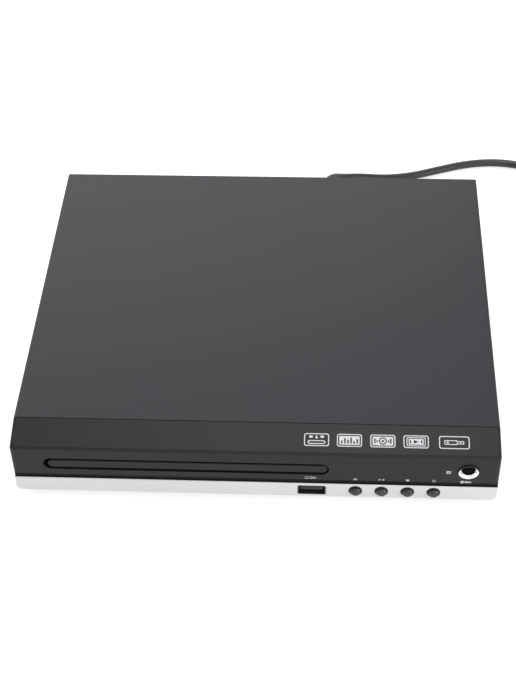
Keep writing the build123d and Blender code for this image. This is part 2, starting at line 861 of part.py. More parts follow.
# Ribbon cable: a flat strip on edge between the front board and the rear board
ribbon_width = 10.0
ribbon_thickness = 0.8
ribbon_z = board_top_z + 2.0 + ribbon_width / 2
ribbon_x = (loader_x + ear_offset + stand_radius + 1.6 + power_left) / 2
ribbon_start_y = board_y + board_thickness
ribbon_end_y = rear_board_front + 18.0
ribbon_start_x = usb_x + 31.8
ribbon_points = [
    (ribbon_start_x, ribbon_start_y),
    (ribbon_start_x, ribbon_start_y + 16.0),
    (ribbon_x, ribbon_start_y + 40.0),
    (ribbon_x, frame_back_y + 1.0),
    (rear_board_right - 6.0, frame_back_y + 9.0),
    (rear_board_right - 6.0, ribbon_end_y),
]

with BuildPart() as ribbon_cable:
    with BuildLine() as ribbon_path:
        FilletPolyline(*[(x, y, ribbon_z) for x, y in ribbon_points], radius=5.0)
    with BuildSketch(Plane((ribbon_start_x, ribbon_start_y, ribbon_z), x_dir=(1, 0, 0), z_dir=(0, 1, 0))):
        Rectangle(ribbon_thickness, ribbon_width)
    sweep(path=ribbon_path.line)
    with BuildSketch(Plane.XY.offset(board_top_z)):
        with Locations((rear_board_right - 6.0, ribbon_end_y - 4.0)):
            Rectangle(4.0, 12.0)
    extrude(amount=8.0)

# Loader frame: an open tub with a gear deck, rails, tray guides and pivot brackets
hatch_left = lift_left - 3.0
hatch_right = lift_right + 3.0
hatch_front = lift_front_y - 1.2
hatch_back = lift_back_y + 2.5
frame_middle_y = (frame_front_y + frame_back_y) / 2
front_wall_z = tray_bottom_z - 1.5
guide_y = cam_y - run_gap

with BuildPart() as loader_frame:
    with BuildSketch(Plane.XY.offset(frame_z)):
        with Locations((loader_x, frame_middle_y)):
            Rectangle(2 * frame_outer, frame_length)
        with Locations(*ear_points):
            Rectangle(ear_width, 10.0)
    extrude(amount=frame_floor)
    with BuildSketch(Plane.XY.offset(frame_z)):
        for side in (-1, 1):
            with Locations((loader_x + side * (frame_inner + frame_wall / 2), frame_middle_y)):
                Rectangle(frame_wall, frame_length)
    extrude(amount=bridge_z - frame_z)
    with BuildSketch(Plane.XY.offset(frame_z)):
        with Locations((loader_x, frame_back_y - frame_wall / 2)):
            Rectangle(2 * frame_outer, frame_wall)
    extrude(amount=tray_top_z + 1.5 - frame_z)
    with BuildSketch(Plane.XY.offset(frame_z)):
        with Locations((loader_x, frame_front_y + frame_wall / 2)):
            Rectangle(2 * frame_outer, frame_wall)
    extrude(amount=front_wall_z - frame_z)
    with BuildSketch(Plane.XY.offset(rail_top_z - rail_thickness)):
        for side in (-1, 1):
            with Locations((loader_x + side * (frame_inner - rail_width / 2), frame_middle_y)):
                Rectangle(rail_width, frame_length)
    extrude(amount=rail_thickness)
    with BuildSketch(Plane.XY.offset(tray_top_z + run_gap)):
        for side in (-1, 1):
            with Locations((loader_x + side * (frame_inner - 1.7), frame_middle_y)):
                with GridLocations(1, 56.0, 1, 3):
                    Rectangle(3.4, 8.0)
    extrude(amount=1.5)
    with BuildSketch(Plane.XY.offset(bridge_z - 10.0)):
        for side in (-1, 1):
            with Locations((loader_x + side * bridge_boss_x, disc_y)):
                RegularPolygon(3.0, 8)
    extrude(amount=10.0)
    with BuildSketch(Plane.XY.offset(deck_z)):
        with Locations((tray_gear_x, gear_y)):
            Circle(gear_pin_radius)
    extrude(amount=upper_gear_z + upper_gear_height - deck_z - 0.2)
    with BuildSketch(Plane.XY.offset(deck_z)):
        with Locations((pulley_gear_x, gear_y)):
            Circle(gear_pin_radius)
    extrude(amount=belt_z + belt_size + 0.4 - deck_z)
    with BuildSketch(Plane.XY.offset(deck_z)):
        with Locations((loader_x - 14.0, guide_y - 0.6)):
            Rectangle(58.0, 1.2)
        with Locations((lift_left - 5.5, pivot_y), (lift_right + 5.5, pivot_y)):
            Rectangle(3.6, 10.0)
    extrude(amount=pivot_z - deck_z + 4.0)
    with BuildSketch(Plane.YZ.offset(lift_left - 10.0)):
        with Locations((pivot_y, pivot_z)):
            Circle(pivot_radius + pin_gap)
    extrude(amount=lift_right - lift_left + 20.0, mode=Mode.SUBTRACT)
    with BuildSketch(Plane.XY.offset(frame_z)):
        with Locations(((hatch_left + hatch_right) / 2, (hatch_front + hatch_back) / 2)):
            Rectangle(hatch_right - hatch_left, hatch_back - hatch_front)
        with Locations(*ear_points):
            screw_hole()
    extrude(amount=frame_floor, mode=Mode.SUBTRACT)
    with BuildSketch(Plane.XY.offset(bridge_z)):
        for side in (-1, 1):
            with Locations((loader_x + side * bridge_boss_x, disc_y)):
                screw_hole()
    extrude(amount=-6.0, mode=Mode.SUBTRACT)

# Disc tray: a plate with skirts, a stepped seat for two disc sizes, a slot and a rack
slot_half = tray_slot_width / 2
tray_middle_y = (tray_front_y + tray_back_y) / 2
dish_radius = disc_radius + disc_clearance
mini_dish_radius = mini_disc_radius + 0.5
rack_first_y = gear_y - 0.5 * math.pi * rack_module * 3
rack_teeth = int((tray_travel + 8.0) / (math.pi * rack_module)) + 1
tray_right_x = loader_x + tray_width / 2

with BuildPart() as disc_tray:
    with BuildSketch(Plane.XY.offset(tray_top_z - tray_plate)):
        with Locations((loader_x, tray_middle_y)):
            Rectangle(tray_width, tray_length)
    extrude(amount=tray_plate)
    with BuildSketch(Plane.XY.offset(tray_bottom_z)):
        for side in (-1, 1):
            with Locations((loader_x + side * (tray_width - tray_skirt) / 2, tray_middle_y)):
                Rectangle(tray_skirt, tray_length)
        with Locations((loader_x, tray_front_y + 1.0)):
            Rectangle(tray_width, 2.0)
    extrude(amount=tray_height)
    with BuildSketch(Plane.XY.offset(disc_seat_z - tray_plate)):
        with Locations((loader_x, disc_y)):
            RegularPolygon(dish_radius + tray_plate + 1.0, 32)
    extrude(amount=tray_top_z - disc_seat_z + tray_plate)
    with BuildSketch(Plane.XY.offset(mini_seat_z - tray_plate)):
        with Locations((loader_x, disc_y)):
            RegularPolygon(mini_dish_radius + 1.2, 32)
    extrude(amount=disc_seat_z - mini_seat_z)
    with BuildSketch(Plane.XY.offset(disc_seat_z)):
        with Locations((loader_x, disc_y)):
            Circle(dish_radius)
    extrude(amount=disc_seat_depth, mode=Mode.SUBTRACT)
    with BuildSketch(Plane.XY.offset(mini_seat_z)):
        with Locations((loader_x, disc_y)):
            Circle(mini_dish_radius)
    extrude(amount=mini_seat_depth, mode=Mode.SUBTRACT)
    with BuildSketch(Plane.XY.offset(tray_bottom_z)):
        with Locations((loader_x, disc_y)):
            Circle(slot_half)
        with Locations((loader_x, (disc_y + tray_back_y) / 2)):
            Rectangle(tray_slot_width, tray_back_y - disc_y)
    extrude(amount=tray_height, mode=Mode.SUBTRACT)
    with BuildSketch(Plane.XY.offset(tray_bottom_z)):
        with BuildLine():
            Polyline(
                *rack_points(
                    rack_pitch_x,
                    tray_right_x - tray_skirt,
                    rack_first_y,
                    rack_teeth,
                    rack_module,
                ),
                close=True,
            )
        make_face()
    extrude(amount=2.2)

with BuildPart() as tray_door:
    with BuildSketch(at_y(front_y)):
        with Locations((loader_x + door_shift, slot_z)):
            SlotOverall(door_length, door_height)
    extrude(amount=-door_thickness)
    chamfer(tray_door.edges().group_by(Axis.Y)[0], 0.3)

# Gears and belt of the tray drive
with BuildPart() as tray_gear:
    with BuildSketch(Plane.XY.offset(upper_gear_z)):
        with BuildLine():
            Polyline(
                *gear_points(tray_gear_x, gear_y, tray_pinion_teeth, rack_module, 10.0),
                close=True,
            )
        make_face()
    extrude(amount=upper_gear_height)
    with BuildSketch(Plane.XY.offset(wheel_z)):
        with BuildLine():
            Polyline(
                *gear_points(tray_gear_x, gear_y, tray_wheel_teeth, train_module, 180.0),
                close=True,
            )
        make_face()
    extrude(amount=wheel_height)
    with BuildSketch(Plane.XY.offset(deck_z + run_gap)):
        with Locations((tray_gear_x, gear_y)):
            RegularPolygon(3.2, 12)
    extrude(amount=upper_gear_z - deck_z - run_gap)
    with BuildSketch(Plane.XY.offset(deck_z)):
        with Locations((tray_gear_x, gear_y)):
            Circle(gear_pin_radius + pin_gap)
    extrude(amount=tray_top_z - deck_z, mode=Mode.SUBTRACT)

with BuildPart() as pulley_gear:
    with BuildSketch(Plane.XY.offset(wheel_z - 0.2)):
        with BuildLine():
            Polyline(
                *gear_points(pulley_gear_x, gear_y, pulley_pinion_teeth, train_module, 18.0),
                close=True,
            )
        make_face()
    extrude(amount=wheel_height + 0.4)
    with BuildSketch(Plane.XY.offset(deck_z + run_gap)):
        with Locations((pulley_gear_x, gear_y)):
            RegularPolygon(2.7, 12)
    extrude(amount=belt_z - deck_z - run_gap)
    for z in (belt_z - 0.7, belt_z + belt_size + 0.3):
        with BuildSketch(Plane.XY.offset(z)):
            with Locations((pulley_gear_x, gear_y)):
                RegularPolygon(big_groove_radius + flange_depth, 24)
        extrude(amount=0.4)
    with BuildSketch(Plane.XY.offset(belt_z - 0.7)):
        with Locations((pulley_gear_x, gear_y)):
            Circle(big_groove_radius)
    extrude(amount=belt_size + 1.4)
    with BuildSketch(Plane.XY.offset(deck_z)):
        with Locations((pulley_gear_x, gear_y)):
            Circle(gear_pin_radius + pin_gap)
    extrude(amount=tray_top_z - deck_z, mode=Mode.SUBTRACT)

with BuildPart() as loading_motor:
    with BuildSketch(Plane.XY.offset(deck_z)):
        with Locations((motor_x, gear_y)):
            RegularPolygon(motor_radius, 20)
    extrude(amount=motor_height)
    with BuildSketch(Plane.XY.offset(deck_z + motor_height)):
        with Locations((motor_x, gear_y)):
            RegularPolygon(0.75, 8)
    extrude(amount=belt_z + belt_size - deck_z - motor_height)

with BuildPart() as motor_pulley:
    with BuildSketch(Plane.XY.offset(belt_z - 0.7)):
        with Locations((motor_x, gear_y)):
            Circle(small_groove_radius)
    extrude(amount=belt_size + 1.4)
    for z in (belt_z - 0.7, belt_z + belt_size + 0.3):
        with BuildSketch(Plane.XY.offset(z)):
            with Locations((motor_x, gear_y)):
                RegularPolygon(small_groove_radius + flange_depth, 12)
        extrude(amount=0.4)
    with BuildSketch(Plane.XY.offset(belt_z - 0.7)):
        with Locations((motor_x, gear_y)):
            Circle(0.75 + pin_gap)
    extrude(amount=belt_size + 1.4, mode=Mode.SUBTRACT)

belt_gap = 0.2
with BuildPart() as drive_belt:
    with BuildSketch(Plane.XY.offset(belt_z)) as belt_outside:
        with Locations((motor_x, gear_y)):
            Circle(small_groove_radius + belt_gap + belt_size)
        with Locations((pulley_gear_x, gear_y)):
            Circle(big_groove_radius + belt_gap + belt_size)
        make_hull()
    extrude(amount=belt_size)
    with BuildSketch(Plane.XY.offset(belt_z)) as belt_inside:
        with Locations((motor_x, gear_y)):
            Circle(small_groove_radius + belt_gap)
        with Locations((pulley_gear_x, gear_y)):
            Circle(big_groove_radius + belt_gap)
        make_hull()
    extrude(amount=belt_size, mode=Mode.SUBTRACT)

# Cam slider: a bar across the loader whose two ramps raise and lower the lift frame
lift_pin_z = pivot_z + 5.0
lift_pin_xs = (loader_x - 25.0, loader_x + 25.0)
cam_low_z = deck_z + run_gap
cam_high_z = lift_pin_z + lift_pin_radius + 1.6
cam_left = lift_pin_xs[0] - cam_travel - 6.0
cam_right = lift_pin_xs[1] + 6.0
ramp_width = 2 * (lift_pin_radius + run_gap)
ramp_length = math.hypot(cam_travel, pin_drop)
ramp_angle = math.degrees(math.atan2(pin_drop, cam_travel))
ramp_centres = [(x - cam_travel / 2, lift_pin_z - pin_drop / 2) for x in lift_pin_xs]

with BuildPart() as cam_slider:
    with BuildSketch(at_y(cam_y)):
        with Locations(((cam_left + cam_right) / 2, (cam_low_z + cam_high_z) / 2)):
            Rectangle(cam_right - cam_left, cam_high_z - cam_low_z)
        with Locations(*ramp_centres):
            SlotCenterToCenter(ramp_length, ramp_width, rotation=ramp_angle, mode=Mode.SUBTRACT)
    extrude(amount=-cam_thickness)

# Lift frame: a ring on two pivots at the back, with two pins in the cam's ramps
lift_middle = ((lift_left + lift_right) / 2, (lift_front_y + lift_back_y) / 2)
lift_width = lift_right - lift_left
damper_points = [(x, y) for x in (lift_left + lift_arm / 2, lift_right - lift_arm / 2)
                 for y in (lift_front_y + 12.0, lift_back_y - 12.0)]
damper_radius = 2.4
post_radius = 1.2

with BuildPart() as lift_frame:
    with BuildSketch(Plane.XY.offset(lift_z)):
        with Locations(lift_middle):
            Rectangle(lift_width, lift_length)
            Rectangle(lift_width - 2 * lift_arm, lift_length - 14.0, mode=Mode.SUBTRACT)
    extrude(amount=lift_thickness)
    with BuildSketch(Plane.XY.offset(lift_z)):
        with Locations((lift_middle[0], lift_front_y + 2.0)):
            Rectangle(lift_width, 4.0)
    extrude(amount=lift_pin_z + 2.2 - lift_z)
    with BuildSketch(at_y(lift_front_y + 1)):
        with Locations(*[(x, lift_pin_z) for x in lift_pin_xs]):
            RegularPolygon(lift_pin_radius, 12)
    extrude(amount=lift_front_y + 1 - cam_y)
    with BuildSketch(Plane.YZ.offset(lift_left - pivot_length)):
        with Locations((pivot_y, pivot_z)):
            Circle(pivot_radius)
    extrude(amount=pivot_length + 1)
    with BuildSketch(Plane.YZ.offset(lift_right - 1)):
        with Locations((pivot_y, pivot_z)):
            Circle(pivot_radius)
    extrude(amount=pivot_length + 1)
    with BuildSketch(Plane.XY.offset(lift_top_z)):
        with Locations(*damper_points):
            RegularPolygon(post_radius, 8)
    extrude(amount=damper_height + plate_thickness + 0.4)

with BuildPart() as dampers:
    with BuildSketch(Plane.XY.offset(lift_top_z)):
        with Locations(*damper_points):
            RegularPolygon(damper_radius, 8)
            RegularPolygon(post_radius + pin_gap, 8, mode=Mode.SUBTRACT)
    extrude(amount=damper_height)

# Traverse plate: carries the spindle motor, the guide rods and the pickup's feed
sled_half = 24.0
sled_front_y = disc_y + lens_rest - 9.4
sled_back_y = disc_y + lens_rest + 14.0
window_front_y = disc_y + 13.2
window_back_y = sled_back_y + sled_travel + 1.0
plate_front_y = lift_front_y + 6.0
plate_back_y = lift_back_y - 3.0
rod_front_y = disc_y + rod_start
rod_back_y = rod_front_y + rod_length
feed_pin_radius = 1.0
feed_z = plate_top_z + 0.9
feed_height = 1.7
feed_motor_height = 7.4
feed_motor_radius = 5.2
rod_xs = (loader_x - rod_spread, loader_x + rod_spread)

with BuildPart() as traverse_plate:
    with BuildSketch(Plane.XY.offset(plate_z)):
        with Locations((lift_middle[0], (plate_front_y + plate_back_y) / 2)):
            Rectangle(lift_width - 1.0, plate_back_y - plate_front_y)
        with Locations((loader_x, (window_front_y + window_back_y) / 2)):
            Rectangle(2 * sled_half + 2, window_back_y - window_front_y, mode=Mode.SUBTRACT)
        with Locations((loader_x, disc_y)):
            RegularPolygon(spindle_radius + fit_gap, 16, mode=Mode.SUBTRACT)
        with Locations(*damper_points):
            RegularPolygon(post_radius + pin_gap, 8, mode=Mode.SUBTRACT)
        with Locations((feed_pinion_x, feed_pinion_y)):
            RegularPolygon(1.4, 8, mode=Mode.SUBTRACT)
    extrude(amount=plate_thickness)
    with BuildSketch(Plane.XY.offset(plate_top_z)):
        for x in rod_xs:
            with Locations((x, rod_front_y + 1.5), (x, rod_back_y - 1.5)):
                Rectangle(6.0, 3.0)
    extrude(amount=rod_z + rod_radius + 1.0 - plate_top_z)
    with BuildSketch(at_y(rod_front_y)):
        with Locations(*[(x, rod_z) for x in rod_xs]):
            RegularPolygon(rod_radius + pin_gap, rod_sides)
    extrude(amount=-rod_length, mode=Mode.SUBTRACT)
    with BuildSketch(Plane.XY.offset(plate_top_z)):
        with Locations((feed_gear_x, feed_gear_y)):
            Circle(feed_pin_radius)
    extrude(amount=feed_z + feed_height + 0.3 - plate_top_z)

with BuildPart() as guide_rods:
    with BuildSketch(at_y(rod_front_y)):
        with Locations(*[(x, rod_z) for x in rod_xs]):
            RegularPolygon(rod_radius, rod_sides)
    extrude(amount=-rod_length)

motor_top_z = turntable_z - 4.4
motor_bottom_z = plate_z - 3.6
shaft_radius = 1.0

with BuildPart() as spindle_motor:
    with BuildSketch(Plane.XY.offset(motor_bottom_z)):
        with Locations((loader_x, disc_y)):
            RegularPolygon(spindle_radius - 2.0, 16)
    extrude(amount=plate_top_z - motor_bottom_z)
    with BuildSketch(Plane.XY.offset(plate_top_z)):
        with Locations((loader_x, disc_y)):
            RegularPolygon(spindle_radius, 16)
    extrude(amount=motor_top_z - plate_top_z)
    with BuildSketch(Plane.XY.offset(motor_top_z)):
        with Locations((loader_x, disc_y)):
            Circle(shaft_radius)
    extrude(amount=turntable_z - motor_top_z)

hub_top_z = turntable_z + 2.6
with BuildPart() as turntable:
    with BuildSketch(Plane.XY.offset(motor_top_z + run_gap)):
        with Locations((loader_x, disc_y)):
            RegularPolygon(4.0, 12)
    extrude(amount=turntable_z - 2.0 - motor_top_z - run_gap)
    with BuildSketch(Plane.XY.offset(turntable_z - 2.0)):
        with Locations((loader_x, disc_y)):
            RegularPolygon(turntable_radius, 24)
    extrude(amount=2.0)
    with BuildSketch(Plane.XY.offset(turntable_z)):
        with Locations((loader_x, disc_y)):
            RegularPolygon(hub_radius, 24)
    extrude(amount=1.2)
    with BuildSketch(Plane.XY.offset(turntable_z + 1.2)):
        with Locations((loader_x, disc_y)):
            RegularPolygon(hub_radius, 24)
    extrude(amount=hub_top_z - turntable_z - 1.2, taper=45)
    with BuildSketch(Plane.XY.offset(motor_top_z)):
        with Locations((loader_x, disc_y)):
            Circle(shaft_radius + pin_gap)
    extrude(amount=hub_top_z - motor_top_z, mode=Mode.SUBTRACT)

# Pickup sled with its rack, and the lens on it
sled_bottom_z = plate_z - 1.4
sled_top_z = rod_z + rod_radius + 0.7
lens_y = disc_y + lens_rest
feed_step = math.pi * feed_module
feed_rack_teeth = int((sled_travel + 3.8) / feed_step)
feed_rack_low_y = feed_gear_y - (feed_rack_teeth - 1) * feed_step

with BuildPart() as pickup_sled:
    with BuildSketch(Plane.XY.offset(sled_bottom_z)):
        with Locations((loader_x, (sled_front_y + sled_back_y) / 2)):
            Rectangle(2 * sled_half, sled_back_y - sled_front_y)
        with Locations((loader_x, disc_y)):
            Circle(spindle_radius + 3.4, mode=Mode.SUBTRACT)
    extrude(amount=sled_top_z - sled_bottom_z)
    with BuildSketch(Plane.XY.offset(sled_top_z)):
        with Locations((loader_x, lens_y + 1.0)):
            Rectangle(15.0, 16.0)
    extrude(amount=2.2)
    with BuildSketch(Plane.XY.offset(feed_z)):
        with BuildLine():
            Polyline(
                *rack_points(
                    feed_rack_x,
                    loader_x + sled_half - 0.5,
                    feed_rack_low_y,
                    feed_rack_teeth,
                    feed_module,
                ),
                close=True,
            )
        make_face()
    extrude(amount=feed_height)
    with BuildSketch(at_y(sled_front_y - 1)):
        with Locations(*[(x, rod_z) for x in rod_xs]):
            RegularPolygon(rod_radius + pin_gap, rod_sides)
    extrude(amount=-(sled_back_y - sled_front_y + 2), mode=Mode.SUBTRACT)

with BuildPart() as objective_lens:
    with BuildSketch(Plane.XY.offset(sled_top_z + 2.2)):
        with Locations((loader_x, lens_y)):
            RegularPolygon(3.2, 16)
    extrude(amount=0.5)
    with BuildSketch(Plane.XY.offset(sled_top_z + 2.7)):
        with Locations((loader_x, lens_y)):
            RegularPolygon(2.2, 16)
    extrude(amount=0.5, taper=35)

with BuildPart() as feed_gear:
    with BuildSketch(Plane.XY.offset(feed_z)):
        with BuildLine():
            Polyline(
                *gear_points(feed_gear_x, feed_gear_y, feed_gear_teeth, feed_module, 180.0),
                close=True,
            )
        make_face()
    extrude(amount=feed_height)
    with BuildSketch(Plane.XY.offset(plate_top_z + run_gap)):
        with Locations((feed_gear_x, feed_gear_y)):
            RegularPolygon(2.2, 12)
    extrude(amount=feed_z - plate_top_z - run_gap)
    with BuildSketch(Plane.XY.offset(plate_top_z)):
        with Locations((feed_gear_x, feed_gear_y)):
            Circle(feed_pin_radius + pin_gap)
    extrude(amount=4.0, mode=Mode.SUBTRACT)

feed_shaft_radius = 0.75
pinion_angle = 225.0 + 180.0 / feed_pinion_teeth
with BuildPart() as feed_pinion:
    with BuildSketch(Plane.XY.offset(feed_z - 0.2)):
        with BuildLine():
            Polyline(
                *gear_points(
                    feed_pinion_x, feed_pinion_y, feed_pinion_teeth, feed_module, pinion_angle
                ),
                close=True,
            )
        make_face()
        with Locations((feed_pinion_x, feed_pinion_y)):
            Circle(feed_shaft_radius + pin_gap, mode=Mode.SUBTRACT)
    extrude(amount=feed_height + 0.4)

with BuildPart() as feed_motor:
    with BuildSketch(Plane.XY.offset(plate_z - feed_motor_height)):
        with Locations((feed_pinion_x, feed_pinion_y)):
            RegularPolygon(feed_motor_radius, 16)
    extrude(amount=feed_motor_height)
    with BuildSketch(Plane.XY.offset(plate_z)):
        with Locations((feed_pinion_x, feed_pinion_y)):
            RegularPolygon(feed_shaft_radius, 8)
    extrude(amount=feed_z + feed_height + 0.2 - plate_z)

# Clamp: a steel bridge over the tray and a puck that turns with the disc
puck_radius = 12.5
puck_flange_radius = 15.5
bridge_half = 18.0
bridge_end = bridge_boss_x + 3.2
bridge_top_z = bridge_z + bridge_thickness

with BuildPart() as clamp_bridge:
    with BuildSketch(Plane.XY.offset(bridge_z)):
        with Locations((loader_x, disc_y)):
            Rectangle(2 * bridge_end, 2 * bridge_half)
            Circle(puck_radius + 1.0, mode=Mode.SUBTRACT)
        with Locations(*[(loader_x + side * bridge_boss_x, disc_y) for side in (-1, 1)]):
            screw_hole(0.1, mode=Mode.SUBTRACT)
    extrude(amount=bridge_thickness)
    with BuildSketch(Plane.XY.offset(bridge_z)):
        with Locations((loader_x, disc_y)):
            with GridLocations(0, 2 * bridge_half - bridge_thickness, 1, 2):
                Rectangle(2 * frame_inner - 12.0, bridge_thickness)
    extrude(amount=bridge_thickness + 2.4)

puck_bottom_z = tray_top_z + 0.4
puck_flange_z = bridge_top_z + run_gap

with BuildPart() as clamp_puck:
    with BuildSketch(Plane.XY.offset(puck_bottom_z)):
        with Locations((loader_x, disc_y)):
            Circle(puck_radius)
    extrude(amount=puck_flange_z - puck_bottom_z)
    with BuildSketch(Plane.XY.offset(puck_bottom_z)):
        with Locations((loader_x, disc_y)):
            RegularPolygon(hub_radius + 1.4, 16)
    extrude(amount=hub_top_z + 0.8 - puck_bottom_z, mode=Mode.SUBTRACT)
    with BuildSketch(Plane.XY.offset(puck_flange_z)):
        with Locations((loader_x, disc_y)):
            RegularPolygon(puck_flange_radius, 24)
    extrude(amount=1.2)

# Cord: relief in the back wall, a loose run to the right, then a coil with a tie and a plug
relief_tip_radius = 3.4
relief_face_y = back_y + relief_out

with BuildPart() as cord_relief:
    with BuildSketch(at_y(wall_inner_y - 2.0)):
        with Locations((cord_x, cord_z)):
            RegularPolygon(relief_radius, relief_sides)
    extrude(amount=-2.0)
    with BuildSketch(at_y(wall_inner_y)):
        with Locations((cord_x, cord_z)):
            RegularPolygon(cord_hole_radius - 0.1, relief_sides)
    extrude(amount=-sheet)
    with BuildSketch(at_y(wall_y)):
        with Locations((cord_x, cord_z)):
            RegularPolygon(relief_radius, relief_sides)
    extrude(amount=-2.0)
    with BuildSketch(at_y(wall_y + 2.0)):
        with Locations((cord_x, cord_z)):
            RegularPolygon(4.6, relief_sides)
    with BuildSketch(at_y(relief_face_y)):
        with Locations((cord_x, cord_z)):
            RegularPolygon(relief_tip_radius, relief_sides)
    loft(ruled=True)

coil_low_z = tie_thickness + tie_gap + cord_diameter / 2
coil_pitch = cord_diameter + coil_gap
coil_outer = coil_middle_diameter / 2 + coil_half_turns * coil_pitch / 4
coil_high_z = coil_low_z + coil_pitch
coil_start_back = 60.5
coil_tail = 3 * cord_diameter

cord_sides = 8
cord_corner = math.sqrt(2 * math.pi / (cord_sides * math.sin(2 * math.pi / cord_sides)))
cord_corner_radius = cord_diameter / 2 * cord_corner

floor_run_z = cord_corner_radius + 0.02

# Route of the loose run: x, distance behind the back wall, height
cord_route = [
    (cord_x, relief_out, cord_z),
    (cord_x, 22.3, cord_z),
    (36.4, 30.7, 18.3),
    (43.4, 37.9, 14.6),
    (54.0, 42.6, 9.4),
    (69.0, 46.0, 4.2),
    (86.0, 50.0, floor_run_z),
    (104.0, 58.5, floor_run_z),
    (122.0, 65.5, floor_run_z),
    (142.0, 67.5, floor_run_z + 0.1),
    (163.0, coil_start_back, coil_low_z),
    (coil_x - cord_diameter, coil_start_back, coil_low_z),
]


def cord_section():
    """Eight-sided section with the area of the round cord, flat at the bottom."""
    RegularPolygon(cord_corner_radius, cord_sides, rotation=180 / cord_sides)


def corner_radii(points):
    """Largest even bend at each corner that leaves a tenth of the shorter run straight."""
    radii = []
    for before, corner, after in zip(points, points[1:], points[2:]):
        into = corner - before
        out = after - corner
        half_turn = math.radians(into.get_angle(out)) / 2
        radii.append(0.45 * min(into.length, out.length) / math.tan(half_turn))
    return radii


route = [Vector(x, back_y + back, z) for x, back, z in cord_route]
route_radii = corner_radii(route)

with BuildPart() as mains_cord:
    with BuildLine() as cord_path:
        FilletPolyline(*route, radius=route_radii)
    with BuildSketch(Plane(origin=route[0], x_dir=(1, 0, 0), z_dir=route[1] - route[0])):
        cord_section()
    sweep(path=cord_path.line)

# The coil spirals in on the floor layer, climbs a layer in one half turn and spirals out
coil_start = Vector(coil_x, back_y + coil_start_back, coil_low_z)
coil_middle_y = coil_start.Y - coil_outer
tie_crossings = []

with BuildPart() as cord_coil:
    with BuildLine() as coil_path:
        side = 1
        place = coil_start
        Line(place - (cord_diameter, 0, 0), place)
        radii = [coil_outer - i * coil_pitch / 2 for i in range(coil_half_turns)]
        climb_radius = radii[-1] - coil_pitch / 2
        for radius in radii:
            end = place - (0, 2 * side * radius, 0)
            ThreePointArc(place, place + (side * radius, -side * radius, 0), end)
            place = end
            side = -side
            if side < 0:
                tie_crossings.append(place.Y)
        end = place + (0, -2 * side * climb_radius, coil_pitch)
        reach = math.hypot(climb_radius, coil_pitch / 2)
        joint = place + (side * reach, -side * climb_radius, coil_pitch / 2)
        TangentArc(place, joint, tangent=(side, 0, 0))
        TangentArc(joint, end, tangent=end - place)
        place = end
        side = -side
        for i in range(coil_half_turns - 1):
            radius = climb_radius + (i + 1) * coil_pitch / 2
            end = place - (0, 2 * side * radius, 0)
            ThreePointArc(place, place + (side * radius, -side * radius, 0), end)
            place = end
            side = -side
            if side < 0:
                tie_crossings.append(place.Y)
        radius = climb_radius + coil_half_turns * coil_pitch / 2
        share = math.sqrt(0.5)
        end = place + (radius, -radius, 0)
        ThreePointArc(place, place + (radius * share, -radius * (1 - share), 0), end)
        coil_end = end - (0, coil_tail, 0)
        Line(end, coil_end)
    coil_plane = Plane(
        origin=coil_start - (cord_diameter, 0, 0), x_dir=(0, 1, 0), z_dir=(1, 0, 0)
    )
    with BuildSketch(coil_plane):
        cord_section()
    sweep(path=coil_path.line)

tie_width = 4.0
tie_low_y = min(tie_crossings) - cord_diameter / 2 - tie_gap
tie_high_y = max(tie_crossings) + cord_diameter / 2 + tie_gap
tie_height = coil_high_z + cord_diameter / 2 + tie_gap - tie_thickness
tie_middle = ((tie_low_y + tie_high_y) / 2, tie_thickness + tie_height / 2)

with BuildPart() as cord_tie:
    with BuildSketch(Plane.YZ.offset(coil_x - tie_width / 2)):
        with Locations(tie_middle):
            Rectangle(tie_high_y - tie_low_y + 2 * tie_thickness, tie_height + 2 * tie_thickness)
            Rectangle(tie_high_y - tie_low_y, tie_height, mode=Mode.SUBTRACT)
    extrude(amount=tie_width)
    with BuildSketch(Plane.YZ.offset(coil_x - tie_width / 2 - 0.6)):
        with Locations((tie_low_y - tie_thickness / 2 - 2.0, tie_middle[1])):
            Rectangle(4.0, 5.0)
    extrude(amount=tie_width + 1.2)

plug_half_height = coil_high_z
plug_relief_length = 22.0
plug_shoulder = 9.0
plug_body = 18.0
plug_width = 24.0
blade_length = 17.0
blade_pitch = 12.7
plug_shoulder_y = coil_end.Y - plug_relief_length
plug_face_y = plug_shoulder_y - plug_shoulder - plug_body

with BuildPart() as mains_plug:
    with BuildSketch(at_y(coil_end.Y)):
        with Locations((coil_end.X, coil_high_z)):
            RegularPolygon(3.3, 12)
    with BuildSketch(at_y(plug_shoulder_y)):
        with Locations((coil_end.X, coil_high_z)):
            RegularPolygon(5.0, 12)
    loft(ruled=True)
    with BuildSketch(at_y(plug_shoulder_y)):
        with Locations((coil_end.X, coil_high_z)):
            Rectangle(12.0, 11.0)
    with BuildSketch(at_y(plug_shoulder_y - plug_shoulder)):
        with Locations((coil_end.X, coil_high_z)):
            Rectangle(plug_width, 2 * plug_half_height)
    loft(ruled=True)
    with BuildSketch(at_y(plug_shoulder_y - plug_shoulder)):
        with Locations((coil_end.X, coil_high_z)):
            Rectangle(plug_width, 2 * plug_half_height)
    extrude(amount=plug_body)
    long_edges = mains_plug.edges().filter_by(Axis.Y).filter_by(
        lambda e: abs(e.length - plug_body) < 0.1
    )
    chamfer(long_edges, 3.0)

